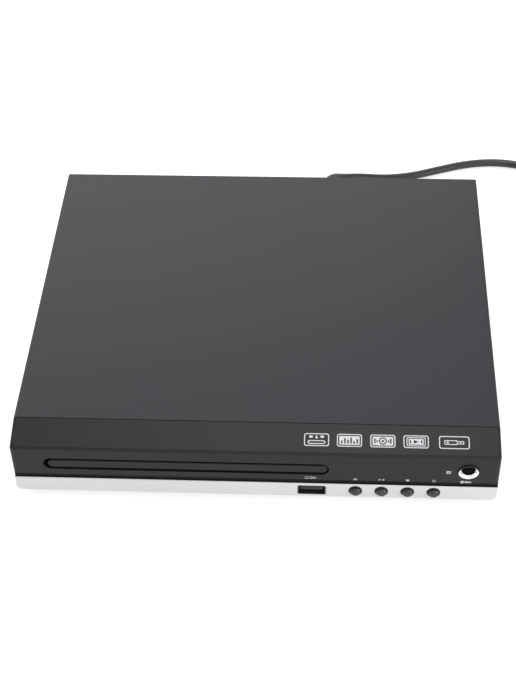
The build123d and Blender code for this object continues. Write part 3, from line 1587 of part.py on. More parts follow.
with BuildPart() as plug_blades:
    with BuildSketch(Plane.YZ.offset(coil_end.X)) as blade_outline:
        with Locations((plug_face_y - blade_length / 2, coil_high_z)):
            Rectangle(blade_length, 6.3)
        chamfer(blade_outline.vertices().group_by(Axis.X)[0], 1.2)
    extrude(amount=blade_pitch / 2 + 0.75, both=True)
    with BuildSketch(Plane.YZ.offset(coil_end.X)):
        with Locations((plug_face_y - blade_length / 2, coil_high_z)):
            Rectangle(blade_length + 2, 8.0)
    extrude(amount=blade_pitch / 2 - 0.75, both=True, mode=Mode.SUBTRACT)
    with BuildSketch(Plane.YZ.offset(coil_end.X)):
        with Locations((plug_face_y - blade_length + 3.2, coil_high_z)):
            RegularPolygon(1.6, 8)
    extrude(amount=blade_pitch, both=True, mode=Mode.SUBTRACT)


def least_gap(wire, diameter, spacing=1.0):
    """Smallest clear distance between turns of a tube, measured on points along its line."""
    count = int(wire.length / spacing)
    points = [wire.position_at(i / count) for i in range(count + 1)]
    apart = int(diameter * 3 / spacing)
    gaps = [
        (a - b).length
        for i, a in enumerate(points)
        for b in points[i + apart:]
    ]
    return min(gaps) - diameter


run_wire = cord_path.wires()[0]
coil_wire = coil_path.wires()[0]
section_area = math.pi * cord_diameter**2 / 4
print("cord bends, in diameters:", [round(r / cord_diameter, 1) for r in route_radii])
print("loose run:", round(run_wire.length, 1), "mm; coil:", round(coil_wire.length, 1), "mm")
print(
    "volume over section times length:",
    round(mains_cord.part.volume / section_area / run_wire.length, 4),
    round(cord_coil.part.volume / section_area / coil_wire.length, 4),
)
print("least gap of the coil to itself:", round(least_gap(coil_wire, cord_diameter), 2), "mm")

pieces = {
    "base_pan": base_pan,
    "top_cover": top_cover,
    "front_panel": front_panel,
    "front_trim": front_trim,
    "feet": feet,
    "cover_screws": cover_screws,
    "inner_screws": inner_screws,
    "front_board": front_board,
    "tact_switches": tact_switches,
    "ir_receiver": ir_receiver,
    "indicator_lens": indicator_lens,
    "usb_shell": usb_shell,
    "usb_tongue": usb_tongue,
    "mic_jack": mic_jack,
    "mic_ring": mic_ring,
    **buttons,
    "main_board": main_board,
    "main_chips": main_chips,
    "jack_block": jack_block,
    "jack_shells": jack_shells,
    **insulators,
    "hdmi_socket": hdmi_socket,
    "power_board": power_board,
    "transformer": transformer,
    "capacitors": capacitors,
    "ribbon_cable": ribbon_cable,
    "loader_frame": loader_frame,
    "disc_tray": disc_tray,
    "tray_door": tray_door,
    "tray_gear": tray_gear,
    "pulley_gear": pulley_gear,
    "loading_motor": loading_motor,
    "motor_pulley": motor_pulley,
    "drive_belt": drive_belt,
    "cam_slider": cam_slider,
    "lift_frame": lift_frame,
    "dampers": dampers,
    "traverse_plate": traverse_plate,
    "guide_rods": guide_rods,
    "spindle_motor": spindle_motor,
    "turntable": turntable,
    "pickup_sled": pickup_sled,
    "objective_lens": objective_lens,
    "feed_gear": feed_gear,
    "feed_pinion": feed_pinion,
    "feed_motor": feed_motor,
    "clamp_bridge": clamp_bridge,
    "clamp_puck": clamp_puck,
    "cord_relief": cord_relief,
    "mains_cord": mains_cord,
    "cord_coil": cord_coil,
    "cord_tie": cord_tie,
    "mains_plug": mains_plug,
    "plug_blades": plug_blades,
}

for label, piece in pieces.items():
    piece.part.label = label
    export_step(piece.part, f"parts/{label}.step")
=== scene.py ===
import bpy
import bmesh
import json
import math
from mathutils import Matrix, Vector


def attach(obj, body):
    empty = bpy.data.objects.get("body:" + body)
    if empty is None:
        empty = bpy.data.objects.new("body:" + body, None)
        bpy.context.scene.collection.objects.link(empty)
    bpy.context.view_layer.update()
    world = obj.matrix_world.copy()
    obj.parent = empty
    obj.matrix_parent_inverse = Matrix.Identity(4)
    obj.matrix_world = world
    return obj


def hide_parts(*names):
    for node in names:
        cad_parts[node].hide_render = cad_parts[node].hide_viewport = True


# Looks of the disc player. Lengths are in millimetres, as in the CAD source, apart from the lamps'.
MM = 0.001

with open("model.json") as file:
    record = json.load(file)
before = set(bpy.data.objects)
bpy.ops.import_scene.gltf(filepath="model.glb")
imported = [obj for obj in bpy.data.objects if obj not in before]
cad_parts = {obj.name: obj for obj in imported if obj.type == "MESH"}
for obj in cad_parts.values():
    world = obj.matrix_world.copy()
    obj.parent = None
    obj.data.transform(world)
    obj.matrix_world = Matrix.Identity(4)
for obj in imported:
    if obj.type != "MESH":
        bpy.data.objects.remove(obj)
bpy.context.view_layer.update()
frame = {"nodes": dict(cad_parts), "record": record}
nodes = frame["nodes"]

# Case, as in the CAD source
half_width = 120.0
front_y = -109.35
seam_y = -93.15
back_y = 102.65
top_z = 40.5
face_bottom_z = 16.95
foot_height = 4.5
slope_angle = math.atan2(4.5, 16.2)
usb_x = 28.35
button_xs = (50.15, 63.0, 75.85, 88.7)
button_z = 9.25
lens_x = 94.95
mic_x, mic_z = 104.75, 25.15


# ---------------------------------------------------------------- materials
def graph(m):
    """Shader of a material, and the calls that add and link its nodes."""
    tree = m.node_tree
    return tree.nodes["Principled BSDF"], tree.nodes.new, tree.links.new


def ramp(add, link, value, start, end):
    """0 at start, 1 at end and even between them."""
    node = add("ShaderNodeMapRange")
    node.inputs["From Min"].default_value = start
    node.inputs["From Max"].default_value = end
    link(value, node.inputs["Value"])
    return node.outputs["Result"]


def calculate(add, link, operation, first, second=None):
    """Math node, whose inputs are sockets or floats."""
    node = add("ShaderNodeMath")
    node.operation = operation
    for socket, value in zip(node.inputs, (first, second)):
        if isinstance(value, float):
            socket.default_value = value
        elif value is not None:
            link(value, socket)
    return node.outputs[0]


def paint_over(shader, add, link, colour, share):
    """Lays a colour over the one the shader has, where share is 1."""
    mixed = add("ShaderNodeMix")
    mixed.data_type = "RGBA"
    mixed.inputs["B"].default_value = (*colour, 1)
    link(shader.inputs["Base Color"].links[0].from_socket, mixed.inputs["A"])
    link(share, mixed.inputs["Factor"])
    link(mixed.outputs["Result"], shader.inputs["Base Color"])


def place_parts(add, link):
    """Sockets of the object's own x, y and z, in metres."""
    where = add("ShaderNodeTexCoord")
    split = add("ShaderNodeSeparateXYZ")
    link(where.outputs["Object"], split.inputs["Vector"])
    return split.outputs


def material(name, base, rough=0.5, metal=0.0, vary=0.08, scale=40.0, rough_vary=0.06,
             bump=0.12, bump_scale=900.0, depth=0.1, specular=0.5, coat=0.0,
             stretch=(1, 1, 1), specks=None, clear=0.0):
    """Principled material with noise in its colour, roughness and surface.

    scale and bump_scale are noise cells per metre, depth the height of the bumps in mm."""
    m = bpy.data.materials.new(name)
    m.use_nodes = True
    shader, add, link = graph(m)
    shader.inputs["Metallic"].default_value = metal
    shader.inputs["Specular IOR Level"].default_value = specular
    if coat:
        shader.inputs["Coat Weight"].default_value = coat
        shader.inputs["Coat Roughness"].default_value = 0.1
    if clear:
        shader.inputs["Transmission Weight"].default_value = clear
    where = add("ShaderNodeTexCoord")
    place = add("ShaderNodeMapping")
    place.inputs["Scale"].default_value = stretch
    link(where.outputs["Object"], place.inputs["Vector"])
    cloud = add("ShaderNodeTexNoise")
    cloud.inputs["Scale"].default_value = scale
    cloud.inputs["Detail"].default_value = 5.0
    link(place.outputs["Vector"], cloud.inputs["Vector"])
    tone = add("ShaderNodeMix")
    tone.data_type = "RGBA"
    tone.inputs["A"].default_value = (*[c * (1 - vary) for c in base], 1)
    tone.inputs["B"].default_value = (*[min(1.0, c * (1 + vary)) for c in base], 1)
    link(ramp(add, link, cloud.outputs["Fac"], 0.3, 0.7), tone.inputs["Factor"])
    link(tone.outputs["Result"], shader.inputs["Base Color"])
    grain = add("ShaderNodeTexNoise")
    grain.inputs["Scale"].default_value = bump_scale
    grain.inputs["Detail"].default_value = 3.0
    link(place.outputs["Vector"], grain.inputs["Vector"])
    if specks:
        speck_colour, amount = specks
        share = ramp(add, link, grain.outputs["Fac"], 1 - amount, 1 - amount + 0.06)
        paint_over(shader, add, link, speck_colour, share)
    gloss = add("ShaderNodeMapRange")
    gloss.inputs["To Min"].default_value = max(0.02, rough - rough_vary)
    gloss.inputs["To Max"].default_value = min(1.0, rough + rough_vary)
    link(cloud.outputs["Fac"], gloss.inputs["Value"])
    link(gloss.outputs["Result"], shader.inputs["Roughness"])
    relief = add("ShaderNodeBump")
    relief.inputs["Strength"].default_value = bump
    relief.inputs["Distance"].default_value = depth * MM
    link(grain.outputs["Fac"], relief.inputs["Height"])
    link(relief.outputs["Normal"], shader.inputs["Normal"])
    return m


def board_material(name, base, dark, metal_colour):
    """Circuit board: solder mask over blocky tracks, with tinned dots."""
    m = material(name, base, rough=0.42, vary=0.1, scale=120, bump=0.2, bump_scale=1500, depth=0.05)
    shader, add, link = graph(m)
    where = add("ShaderNodeTexCoord")
    tracks = add("ShaderNodeTexBrick")
    tracks.inputs["Scale"].default_value = 260.0
    tracks.inputs["Mortar Size"].default_value = 0.035
    tracks.inputs["Color1"].default_value = (*base, 1)
    tracks.inputs["Color2"].default_value = (*[c * 1.25 for c in base], 1)
    tracks.inputs["Mortar"].default_value = (*dark, 1)
    link(where.outputs["Object"], tracks.inputs["Vector"])
    dots = add("ShaderNodeTexVoronoi")
    dots.inputs["Scale"].default_value = 330.0
    link(where.outputs["Object"], dots.inputs["Vector"])
    link(tracks.outputs["Color"], shader.inputs["Base Color"])
    paint_over(shader, add, link, metal_colour, ramp(add, link, dots.outputs["Distance"], 0.16, 0.12))
    return m


def ribbon_material(name):
    """Flat cable: pale ribs with darker grey between them."""
    m = material(name, (0.55, 0.55, 0.54), rough=0.45, vary=0.05, scale=60)
    shader, add, link = graph(m)
    where = add("ShaderNodeTexCoord")
    bands = add("ShaderNodeTexWave")
    bands.bands_direction = "Z"
    bands.inputs["Scale"].default_value = 250.0
    bands.inputs["Distortion"].default_value = 0.0
    link(where.outputs["Object"], bands.inputs["Vector"])
    mixed = add("ShaderNodeMix")
    mixed.data_type = "RGBA"
    mixed.inputs["A"].default_value = (0.3, 0.3, 0.3, 1)
    mixed.inputs["B"].default_value = (0.6, 0.6, 0.59, 1)
    link(bands.outputs["Fac"], mixed.inputs["Factor"])
    link(mixed.outputs["Result"], shader.inputs["Base Color"])
    return m


def paint_shade_behind(m, y, dark, rough, below=None):
    """Painted shade: another colour and roughness behind y, and only below a height if one is given."""
    shader, add, link = graph(m)
    place = place_parts(add, link)
    inside = ramp(add, link, place["Y"], (y - 0.05) * MM, (y + 0.05) * MM)
    if below:
        low = ramp(add, link, place["Z"], (below + 0.05) * MM, (below - 0.05) * MM)
        inside = calculate(add, link, "MULTIPLY", inside, low)
    paint_over(shader, add, link, dark, inside)
    dull = add("ShaderNodeMix")
    dull.inputs["B"].default_value = rough
    link(shader.inputs["Roughness"].links[0].from_socket, dull.inputs["A"])
    link(inside, dull.inputs["Factor"])
    link(dull.outputs["Result"], shader.inputs["Roughness"])


def window(m, centre, sizes, colours):
    """Nested rectangles in x and z about centre, each half as large as sizes say and in its colour."""
    shader, add, link = graph(m)
    place = place_parts(add, link)
    for (half_x, half_z), colour in zip(sizes, colours):
        inside = []
        for axis, middle, half in (("X", centre[0], half_x), ("Z", centre[1], half_z)):
            off = calculate(add, link, "SUBTRACT", place[axis], middle * MM)
            off = calculate(add, link, "ABSOLUTE", off)
            inside.append(ramp(add, link, off, (half + 0.12) * MM, (half - 0.12) * MM))
        paint_over(shader, add, link, colour, calculate(add, link, "MULTIPLY", *inside))


look = {
    "black_paint": material("black_paint", (0.0100, 0.0098, 0.0150), rough=0.42, specular=0.36,
                            vary=0.05, scale=14, rough_vary=0.04, bump=0.35, bump_scale=2600, depth=0.03),
    "black_plastic": material("black_plastic", (0.0105, 0.0105, 0.0115), rough=0.40, specular=0.25,
                              vary=0.06, scale=25, bump=0.2, bump_scale=2200, depth=0.03),
    "panel_front": material("panel_front", (0.0105, 0.0105, 0.0115), rough=0.40, specular=0.25,
                            vary=0.06, scale=25, bump=0.2, bump_scale=2200, depth=0.03),
    "silver_front": material("silver_front", (0.80, 0.80, 0.80), rough=0.34, vary=0.02, scale=30,
                             metal=0.05, bump=0.12, bump_scale=3000, depth=0.02,
                             specks=((0.88, 0.88, 0.88), 0.36)),
    "zinc_steel": material("zinc_steel", (0.56, 0.57, 0.59), rough=0.38, metal=0.9, vary=0.05,
                           scale=130, rough_vary=0.08, bump=0.12, bump_scale=700, depth=0.03),
    "black_rubber": material("black_rubber", (0.026, 0.026, 0.026), rough=0.72, vary=0.15, scale=120,
                             bump=0.4, bump_scale=1800, depth=0.06),
    "black_screw": material("black_screw", (0.045, 0.045, 0.048), rough=0.34, metal=0.7, vary=0.12,
                            scale=300, bump=0.15, bump_scale=2500, depth=0.02),
    "zinc_screw": material("zinc_screw", (0.66, 0.66, 0.62), rough=0.3, metal=1.0, vary=0.12, scale=400,
                           bump=0.15, bump_scale=2500, depth=0.02),
    "board_green": board_material("board_green", (0.03, 0.17, 0.07), (0.02, 0.1, 0.045), (0.6, 0.6, 0.56)),
    "board_tan": board_material("board_tan", (0.42, 0.3, 0.14), (0.34, 0.23, 0.1), (0.62, 0.6, 0.55)),
    "switch_black": material("switch_black", (0.04, 0.04, 0.04), rough=0.5),
    "receiver_black": material("receiver_black", (0.016, 0.012, 0.016), rough=0.12, vary=0.1, bump=0.05),
    "lens_window": material("lens_window", (0.02, 0.02, 0.021), rough=0.38, vary=0.1, scale=500,
                            bump=0.2, bump_scale=2500, depth=0.03),
    "bright_steel": material("bright_steel", (0.72, 0.71, 0.69), rough=0.2, metal=1.0, vary=0.08,
                             scale=300, rough_vary=0.08, bump=0.08, bump_scale=1800, depth=0.02),
    "dark_insulator": material("dark_insulator", (0.022, 0.022, 0.022), rough=0.46, vary=0.1,
                               bump=0.15, bump_scale=2000, depth=0.03),
    "tongue_dark": material("tongue_dark", (0.05, 0.028, 0.024), rough=0.42, vary=0.15, scale=300,
                            bump=0.15, bump_scale=2000, depth=0.03),
    "bright_ring": material("bright_ring", (0.82, 0.82, 0.83), rough=0.12, metal=1.0, vary=0.05,
                            scale=500, rough_vary=0.05, bump=0.05, bump_scale=1500, depth=0.02),
    "dark_button": material("dark_button", (0.022, 0.022, 0.023), rough=0.2, vary=0.08, scale=300,
                            bump=0.15, bump_scale=3000, depth=0.02),
    "socket_black": material("socket_black", (0.008, 0.008, 0.008), rough=0.3, specular=0.4, vary=0.1,
                             scale=300, bump=0.1, bump_scale=2000, depth=0.02),
    "chip_black": material("chip_black", (0.03, 0.03, 0.03), rough=0.6, vary=0.15, scale=300,
                           bump=0.3, bump_scale=2600, depth=0.04),
    "yellow_plastic": material("yellow_plastic", (0.72, 0.47, 0.02), rough=0.3, vary=0.06, scale=200),
    "white_plastic": material("white_plastic", (0.74, 0.74, 0.71), rough=0.3, vary=0.04, scale=200),
    "red_plastic": material("red_plastic", (0.5, 0.02, 0.02), rough=0.3, vary=0.08, scale=200),
    "core_dark": material("core_dark", (0.06, 0.055, 0.05), rough=0.55, vary=0.2, scale=200,
                          bump=0.4, bump_scale=900, depth=0.08),
    "sleeve_dark": material("sleeve_dark", (0.02, 0.024, 0.05), rough=0.28, vary=0.1, scale=200),
    "grey_ribbon": ribbon_material("grey_ribbon"),
    "loader_black": material("loader_black", (0.028, 0.028, 0.028), rough=0.52, vary=0.1, scale=60,
                             bump=0.3, bump_scale=1600, depth=0.04),
    "tray_black": material("tray_black", (0.033, 0.033, 0.035), rough=0.48, vary=0.07, scale=50,
                           bump=0.5, bump_scale=2400, depth=0.05),
    "white_gear": material("white_gear", (0.70, 0.69, 0.64), rough=0.42, vary=0.04, scale=200,
                           bump=0.12, bump_scale=1500, depth=0.03),
    "motor_steel": material("motor_steel", (0.58, 0.58, 0.59), rough=0.28, metal=1.0, vary=0.1,
                            scale=120, bump=0.15, bump_scale=1400, depth=0.03, stretch=(1, 1, 8)),
    "damper_rubber": material("damper_rubber", (0.06, 0.06, 0.065), rough=0.7, vary=0.1, scale=200),
    "turntable_black": material("turntable_black", (0.03, 0.03, 0.03), rough=0.45, vary=0.1, scale=150),
    "sled_metal": material("sled_metal", (0.42, 0.42, 0.43), rough=0.45, metal=0.85, vary=0.14,
                           scale=200, rough_vary=0.1, bump=0.35, bump_scale=1500, depth=0.05),
    "clear_lens": material("clear_lens", (0.55, 0.68, 0.85), rough=0.05, vary=0.05, bump=0.02,
                           clear=0.8, coat=0.5),
    "puck_white": material("puck_white", (0.70, 0.70, 0.67), rough=0.4, vary=0.04, scale=150),
    "cord_black": material("cord_black", (0.016, 0.016, 0.018), rough=0.33, vary=0.12, scale=90,
                           rough_vary=0.06, bump=0.3, bump_scale=1300, depth=0.06),
    "tie_black": material("tie_black", (0.04, 0.04, 0.04), rough=0.4, vary=0.1, scale=200),
    "blade_nickel": material("blade_nickel", (0.70, 0.67, 0.60), rough=0.24, metal=1.0, vary=0.08,
                             scale=200, bump=0.12, bump_scale=1500, depth=0.03, stretch=(1, 6, 1)),
    # Painted shade: the socket's steel shell is given a dark look for the shade inside the socket.
    "shell_painted_shade": material("shell_painted_shade", (0.035, 0.033, 0.032), rough=0.38, metal=0.4, vary=0.12, scale=300,
                           bump=0.1, bump_scale=1800, depth=0.02),
    # Brown of the carrier's edge, lighter as a painted highlight of its lit edge.
    "carrier_brown_and_highlight": material("carrier_brown_and_highlight", (0.11, 0.082, 0.08), rough=0.4, vary=0.15, scale=300,
                              bump=0.15, bump_scale=2000, depth=0.03),
    "gold": material("gold", (0.75, 0.53, 0.18), rough=0.22, metal=1.0, vary=0.08, scale=600),
    "print": material("print", (0.70, 0.71, 0.73), rough=0.5, vary=0.1, scale=700, bump=0.2,
                      bump_scale=3000, depth=0.02),
    "print_soft": material("print_soft", (0.56, 0.56, 0.57), rough=0.5, vary=0.15, scale=900,
                           bump=0.2, bump_scale=3000, depth=0.02),
}

# The strip is silver on its face. Painted shade: its ledge behind it, the groove between it and the panel,
# and the panel's lower lip, which turns under into it, are painted dull near-black for the shadow in the
# groove.
painted_shade = (0.003, 0.003, 0.003)
paint_shade_behind(look["silver_front"], front_y + 0.5, painted_shade, 0.95)
paint_shade_behind(look["panel_front"], front_y + 0.3, painted_shade, 0.95, face_bottom_z - 0.1)
paint_shade_behind(look["panel_front"], front_y - 5, painted_shade, 0.95, face_bottom_z + 0.45)
# Painted shade: a cap's side, near its base, is painted near-black for the shade around its rim.
paint_shade_behind(look["dark_button"], front_y - 0.65, (0.005, 0.005, 0.005), 0.85)
window(look["lens_window"], (lens_x, mic_z), ((1.0, 1.05), (0.5, 0.42)),
       ((0.52, 0.53, 0.53), (0.24, 0.24, 0.25)))

# The record's slot gives a node its look, apart from these
slots = {s["node"]: s["material_slot"] for s in frame["record"]["subparts"]}
# The socket's shell takes a dark look that is painted shade inside the socket.
own_look = {"usb_tongue": "tongue_dark", "usb_shell": "shell_painted_shade", "front_trim": "silver_front",
            "front_panel": "panel_front", "indicator_lens": "lens_window"}
for name, obj in nodes.items():
    obj.data.materials.clear()
    obj.data.materials.append(look[own_look.get(name, slots[name])])


# ---------------------------------------------------------------- mesh helpers
def finish_piece(obj, look_name, body, smooth=None):
    """Gives a new piece its material and its body, and smooths edges under an angle."""
    obj.data.materials.clear()
    obj.data.materials.append(look[look_name])
    if smooth:
        obj.data.polygons.foreach_set("use_smooth", [True] * len(obj.data.polygons))
        obj.data.update()
        obj.data.set_sharp_from_angle(angle=math.radians(smooth))
    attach(obj, body)


def mesh_object(name, verts, faces):
    """Mesh object from points in mm."""
    data = bpy.data.meshes.new(name)
    data.from_pydata([Vector(v) * MM for v in verts], [], faces)
    data.update()
    obj = bpy.data.objects.new(name, data)
    bpy.context.scene.collection.objects.link(obj)
    return obj


def tidy_normals(obj):
    """Joins doubled points and turns all faces outward."""
    bm = bmesh.new()
    bm.from_mesh(obj.data)
    bmesh.ops.remove_doubles(bm, verts=bm.verts, dist=1e-7)
    bmesh.ops.recalc_face_normals(bm, faces=bm.faces)
    bm.to_mesh(obj.data)
    bm.free()


def lathe_data(profile, origin, axis, steps):
    """Mesh data of a profile of (radius, height) points, turned about axis through origin."""
    axis = Vector(axis).normalized()
    side = axis.orthogonal().normalized()
    other = axis.cross(side)
    origin = Vector(origin)
    verts, faces, rings = [], [], []
    for radius, height in profile:
        centre = origin + axis * height
        if radius < 1e-6:
            rings.append([len(verts)])
            verts.append(centre)
            continue
        ring = []
        for i in range(steps):
            a = 2 * math.pi * i / steps
            ring.append(len(verts))
            verts.append(centre + (side * math.cos(a) + other * math.sin(a)) * radius)
        rings.append(ring)
    for a, b in zip(rings, rings[1:]):
        for i in range(steps):
            j = (i + 1) % steps
            quad = [a[i % len(a)], a[j % len(a)], b[j % len(b)], b[i % len(b)]]
            quad = [v for k, v in enumerate(quad) if v not in quad[:k]]
            if len(quad) > 2:
                faces.append(quad)
    return verts, faces


def lathe(name, profile, origin, axis, steps):
    """Turned object from such a profile."""
    obj = mesh_object(name, *lathe_data(profile, origin, axis, steps))
    tidy_normals(obj)
    return obj


def join_data(parts):
    """Mesh data of several parts as one."""
    verts, faces = [], []
    for v, f in parts:
        base = len(verts)
        verts += v
        faces += [[i + base for i in face] for face in f]
    return verts, faces


def box_data(low, high):
    """Mesh data of a box between two corners."""
    x0, y0, z0 = low
    x1, y1, z1 = high
    verts = [Vector((x, y, z)) for x in (x0, x1) for y in (y0, y1) for z in (z0, z1)]
    faces = [[0, 1, 3, 2], [4, 6, 7, 5], [0, 4, 5, 1], [2, 3, 7, 6], [0, 2, 6, 4], [1, 5, 7, 3]]
    return verts, faces


def frame_data(outer, inner, y0, y1):
    """Mesh data of a frame between two closed outlines of equal length, from y0 back to y1."""
    n = len(outer)
    verts = [(x, y, z) for y in (y0, y1) for line in (outer, inner) for x, z in line]
    faces = []
    for i in range(n):
        j = (i + 1) % n
        for a, b in ((0, 1), (1, 3), (3, 2), (2, 0)):
            faces.append([a * n + i, a * n + j, b * n + j, b * n + i])
    return verts, faces


def bevel_all(obj, width, segments=2):
    """Rounds every edge sharper than 40 degrees, by a width in mm."""
    bm = bmesh.new()
    bm.from_mesh(obj.data)
    bmesh.ops.recalc_face_normals(bm, faces=bm.faces)
    edges = [e for e in bm.edges if e.is_manifold and e.calc_face_angle(0) > math.radians(40)]
    bmesh.ops.bevel(bm, geom=edges, offset=width * MM, segments=segments, affect="EDGES", profile=0.5)
    bm.to_mesh(obj.data)
    bm.free()


def flat_shape(name, outlines, place, thickness=0.03):
    """Flat shape from closed outlines in mm, holes by even and odd, laid on the plane of place."""
    data = bpy.data.curves.new(name + "_outline", "CURVE")
    data.dimensions = "2D"
    data.fill_mode = "BOTH"
    data.extrude = thickness
    for outline in outlines:
        spline = data.splines.new("POLY")
        spline.points.add(len(outline) - 1)
        for p, (x, y) in zip(spline.points, outline):
            p.co = (x, y, 0, 1)
        spline.use_cyclic_u = True
    source = bpy.data.objects.new(name + "_source", data)
    bpy.context.scene.collection.objects.link(source)
    bpy.context.view_layer.update()
    shown = source.evaluated_get(bpy.context.evaluated_depsgraph_get())
    mesh = bpy.data.meshes.new_from_object(shown)
    bpy.data.objects.remove(source)
    bpy.data.curves.remove(data)
    mesh.transform(Matrix.Scale(MM, 4) @ place)
    mesh.name = name
    obj = bpy.data.objects.new(name, mesh)
    bpy.context.scene.collection.objects.link(obj)
    return obj


def plane_matrix(origin, across, up):
    """Placement of a flat drawing, from its origin in mm and the directions of its x and y."""
    across, up = Vector(across).normalized(), Vector(up).normalized()
    out = across.cross(up)
    m = Matrix.Identity(4)
    for i, v in enumerate((across, up, out)):
        m.col[i][:3] = v
    m.col[3][:3] = Vector(origin)
    return m


def round_rect(x0, y0, x1, y1, r, steps=6):
    points = []
    corners = ((x1 - r, y1 - r, 0), (x0 + r, y1 - r, 90), (x0 + r, y0 + r, 180), (x1 - r, y0 + r, 270))
    for cx, cy, start in corners:
        for i in range(steps + 1):
            a = math.radians(start + 90 * i / steps)
            points.append((cx + r * math.cos(a), cy + r * math.sin(a)))
    return points


def disc(x, y, r, steps=32):
    angles = [2 * math.pi * i / steps for i in range(steps)]
    return [(x + r * math.cos(a), y + r * math.sin(a)) for a in angles]


def rect(x0, y0, x1, y1):
    return [(x0, y0), (x1, y0), (x1, y1), (x0, y1)]


def arc_band(x, y, r_out, r_in, start, end, steps=28):
    angles = [math.radians(start + (end - start) * i / steps) for i in range(steps + 1)]
    return ([(x + r_out * math.cos(a), y + r_out * math.sin(a)) for a in angles]
            + [(x + r_in * math.cos(a), y + r_in * math.sin(a)) for a in reversed(angles)])


# ---------------------------------------------------------------- camera, light, floor
focal_px, picture_height_px, sensor = 1450, 688, 36
camera_data = bpy.data.cameras.new("camera")
camera_data.lens = focal_px / picture_height_px * sensor
camera_data.sensor_width = sensor
camera_data.sensor_fit = "AUTO"
camera_data.clip_start = 0.01
camera = bpy.data.objects.new("camera", camera_data)
bpy.context.scene.collection.objects.link(camera)
pitch, yaw, roll = 0.77346, -0.06562, -0.02722
forward = Vector((math.sin(yaw) * math.cos(pitch), math.cos(yaw) * math.cos(pitch), -math.sin(pitch)))
level = Vector((math.cos(yaw), -math.sin(yaw), 0))
above = level.cross(forward)
across = math.cos(roll) * level + math.sin(roll) * above
upward = -math.sin(roll) * level + math.cos(roll) * above
turn = Matrix((across, upward, -forward)).transposed().to_4x4()
camera.matrix_world = Matrix.Translation(Vector((34.18, -574.65, 565.51)) * MM) @ turn
bpy.context.scene.camera = camera


def seen_directly(tree):
    """1 for rays from the camera, and for mirrored and refracted ones."""
    add, link = tree.nodes.new, tree.links.new
    path = add("ShaderNodeLightPath").outputs
    direct = calculate(add, link, "MAXIMUM", path["Is Camera Ray"], path["Is Glossy Ray"])
    return calculate(add, link, "MAXIMUM", direct, path["Is Transmission Ray"])


world = bpy.data.worlds.new("studio")
bpy.context.scene.world = world
world.use_nodes = True
tree = world.node_tree
background = tree.nodes["Background"]
background.inputs["Color"].default_value = (1, 1, 1, 1)
strength = tree.nodes.new("ShaderNodeMapRange")
strength.inputs["To Min"].default_value = 0.53
strength.inputs["To Max"].default_value = 1.0
tree.links.new(seen_directly(tree), strength.inputs["Value"])
tree.links.new(strength.outputs["Result"], background.inputs["Strength"])

floor_material = bpy.data.materials.new("pale_floor")
floor_material.use_nodes = True
tree = floor_material.node_tree
shader, add, link = graph(floor_material)
shader.inputs["Roughness"].default_value = 0.9
shader.inputs["Specular IOR Level"].default_value = 0.1
shader.inputs["Emission Color"].default_value = (1, 1, 1, 1)
grain = add("ShaderNodeTexNoise")
grain.inputs["Scale"].default_value = 30.0
pale = add("ShaderNodeMix")
pale.data_type = "RGBA"
pale.inputs["A"].default_value = (0.79, 0.79, 0.79, 1)
pale.inputs["B"].default_value = (0.82, 0.82, 0.82, 1)
link(grain.outputs["Fac"], pale.inputs["Factor"])
link(pale.outputs["Result"], shader.inputs["Base Color"])
link(calculate(add, link, "MULTIPLY", seen_directly(tree), 0.62), shader.inputs["Emission Strength"])
reach = 6000
floor = mesh_object("floor", [(x, y, 0) for x, y in rect(-reach, -reach, reach, reach)], [[0, 1, 2, 3]])
floor.data.materials.append(floor_material)


def lamp(name, place, target, width, height, power):
    """Softbox at place that faces target, in metres and watts."""
    data = bpy.data.lights.new(name, "AREA")
    data.shape = "RECTANGLE"
    data.size, data.size_y = width, height
    data.energy = power
    obj = bpy.data.objects.new(name, data)
    obj.location = place
    obj.rotation_mode = "QUATERNION"
    obj.rotation_quaternion = (Vector(target) - Vector(place)).to_track_quat("-Z", "Y")
    bpy.context.scene.collection.objects.link(obj)


lamp("back_softbox", (-0.33, 1.12, 0.78), (0, 0.1, 0), 1.4, 0.5, 4.9)
lamp("top_softbox", (0.05, 0.25, 1.5), (0, 0, 0), 0.62, 0.62, 4.8)
lamp("front_softbox", (0.45, -1.25, 0.65), (0.03, -0.1, 0), 1.0, 0.8, 4.5)
lamp("side_softbox", (1.2, -0.55, 0.42), (0.06, -0.1, 0), 0.45, 0.45, 4.6)

# ---------------------------------------------------------------- mains cord and coil
cord_diameter = 4.8
cord_x, cord_z, relief_out = 33.0, 20.0, 13.0
coil_x, coil_middle_diameter, coil_half_turns, coil_gap = 193.8, 57.0, 5, 0.5
tie_thickness, tie_gap = 0.8, 0.1
coil_low_z = tie_thickness + tie_gap + cord_diameter / 2
coil_pitch = cord_diameter + coil_gap
coil_outer = coil_middle_diameter / 2 + coil_half_turns * coil_pitch / 4
coil_high_z = coil_low_z + coil_pitch
coil_start_back = 60.5
coil_tail = 3 * cord_diameter
floor_run_z = 2.55

# The loose run, near the CAD route: x, distance behind the back wall, height
cord_route = [
    (cord_x, relief_out, cord_z),
    (cord_x, 22.3, cord_z),
    (36.4, 30.2, 17.6),
    (43.4, 36.4, 12.4),
    (54.0, 42.0, 8.6),
    (69.0, 46.2, 4.4),
    (86.0, 50.6, floor_run_z + 0.6),
    (104.0, 58.5, floor_run_z),
    (122.0, 65.0, floor_run_z),
    (142.0, 66.9, floor_run_z + 0.1),
    (163.0, coil_start_back, coil_low_z),
    (coil_x - cord_diameter, coil_start_back, coil_low_z),
]
points = [Vector((x, back_y + y, z)) for x, y, z in cord_route]

# The coil: half turns of slowly changing radius, with eight control points each
steps = 8
swell = 1 / (0.75 + 0.25 * math.cos(math.pi / steps))
place = Vector((coil_x, back_y + coil_start_back, coil_low_z))
side = 1


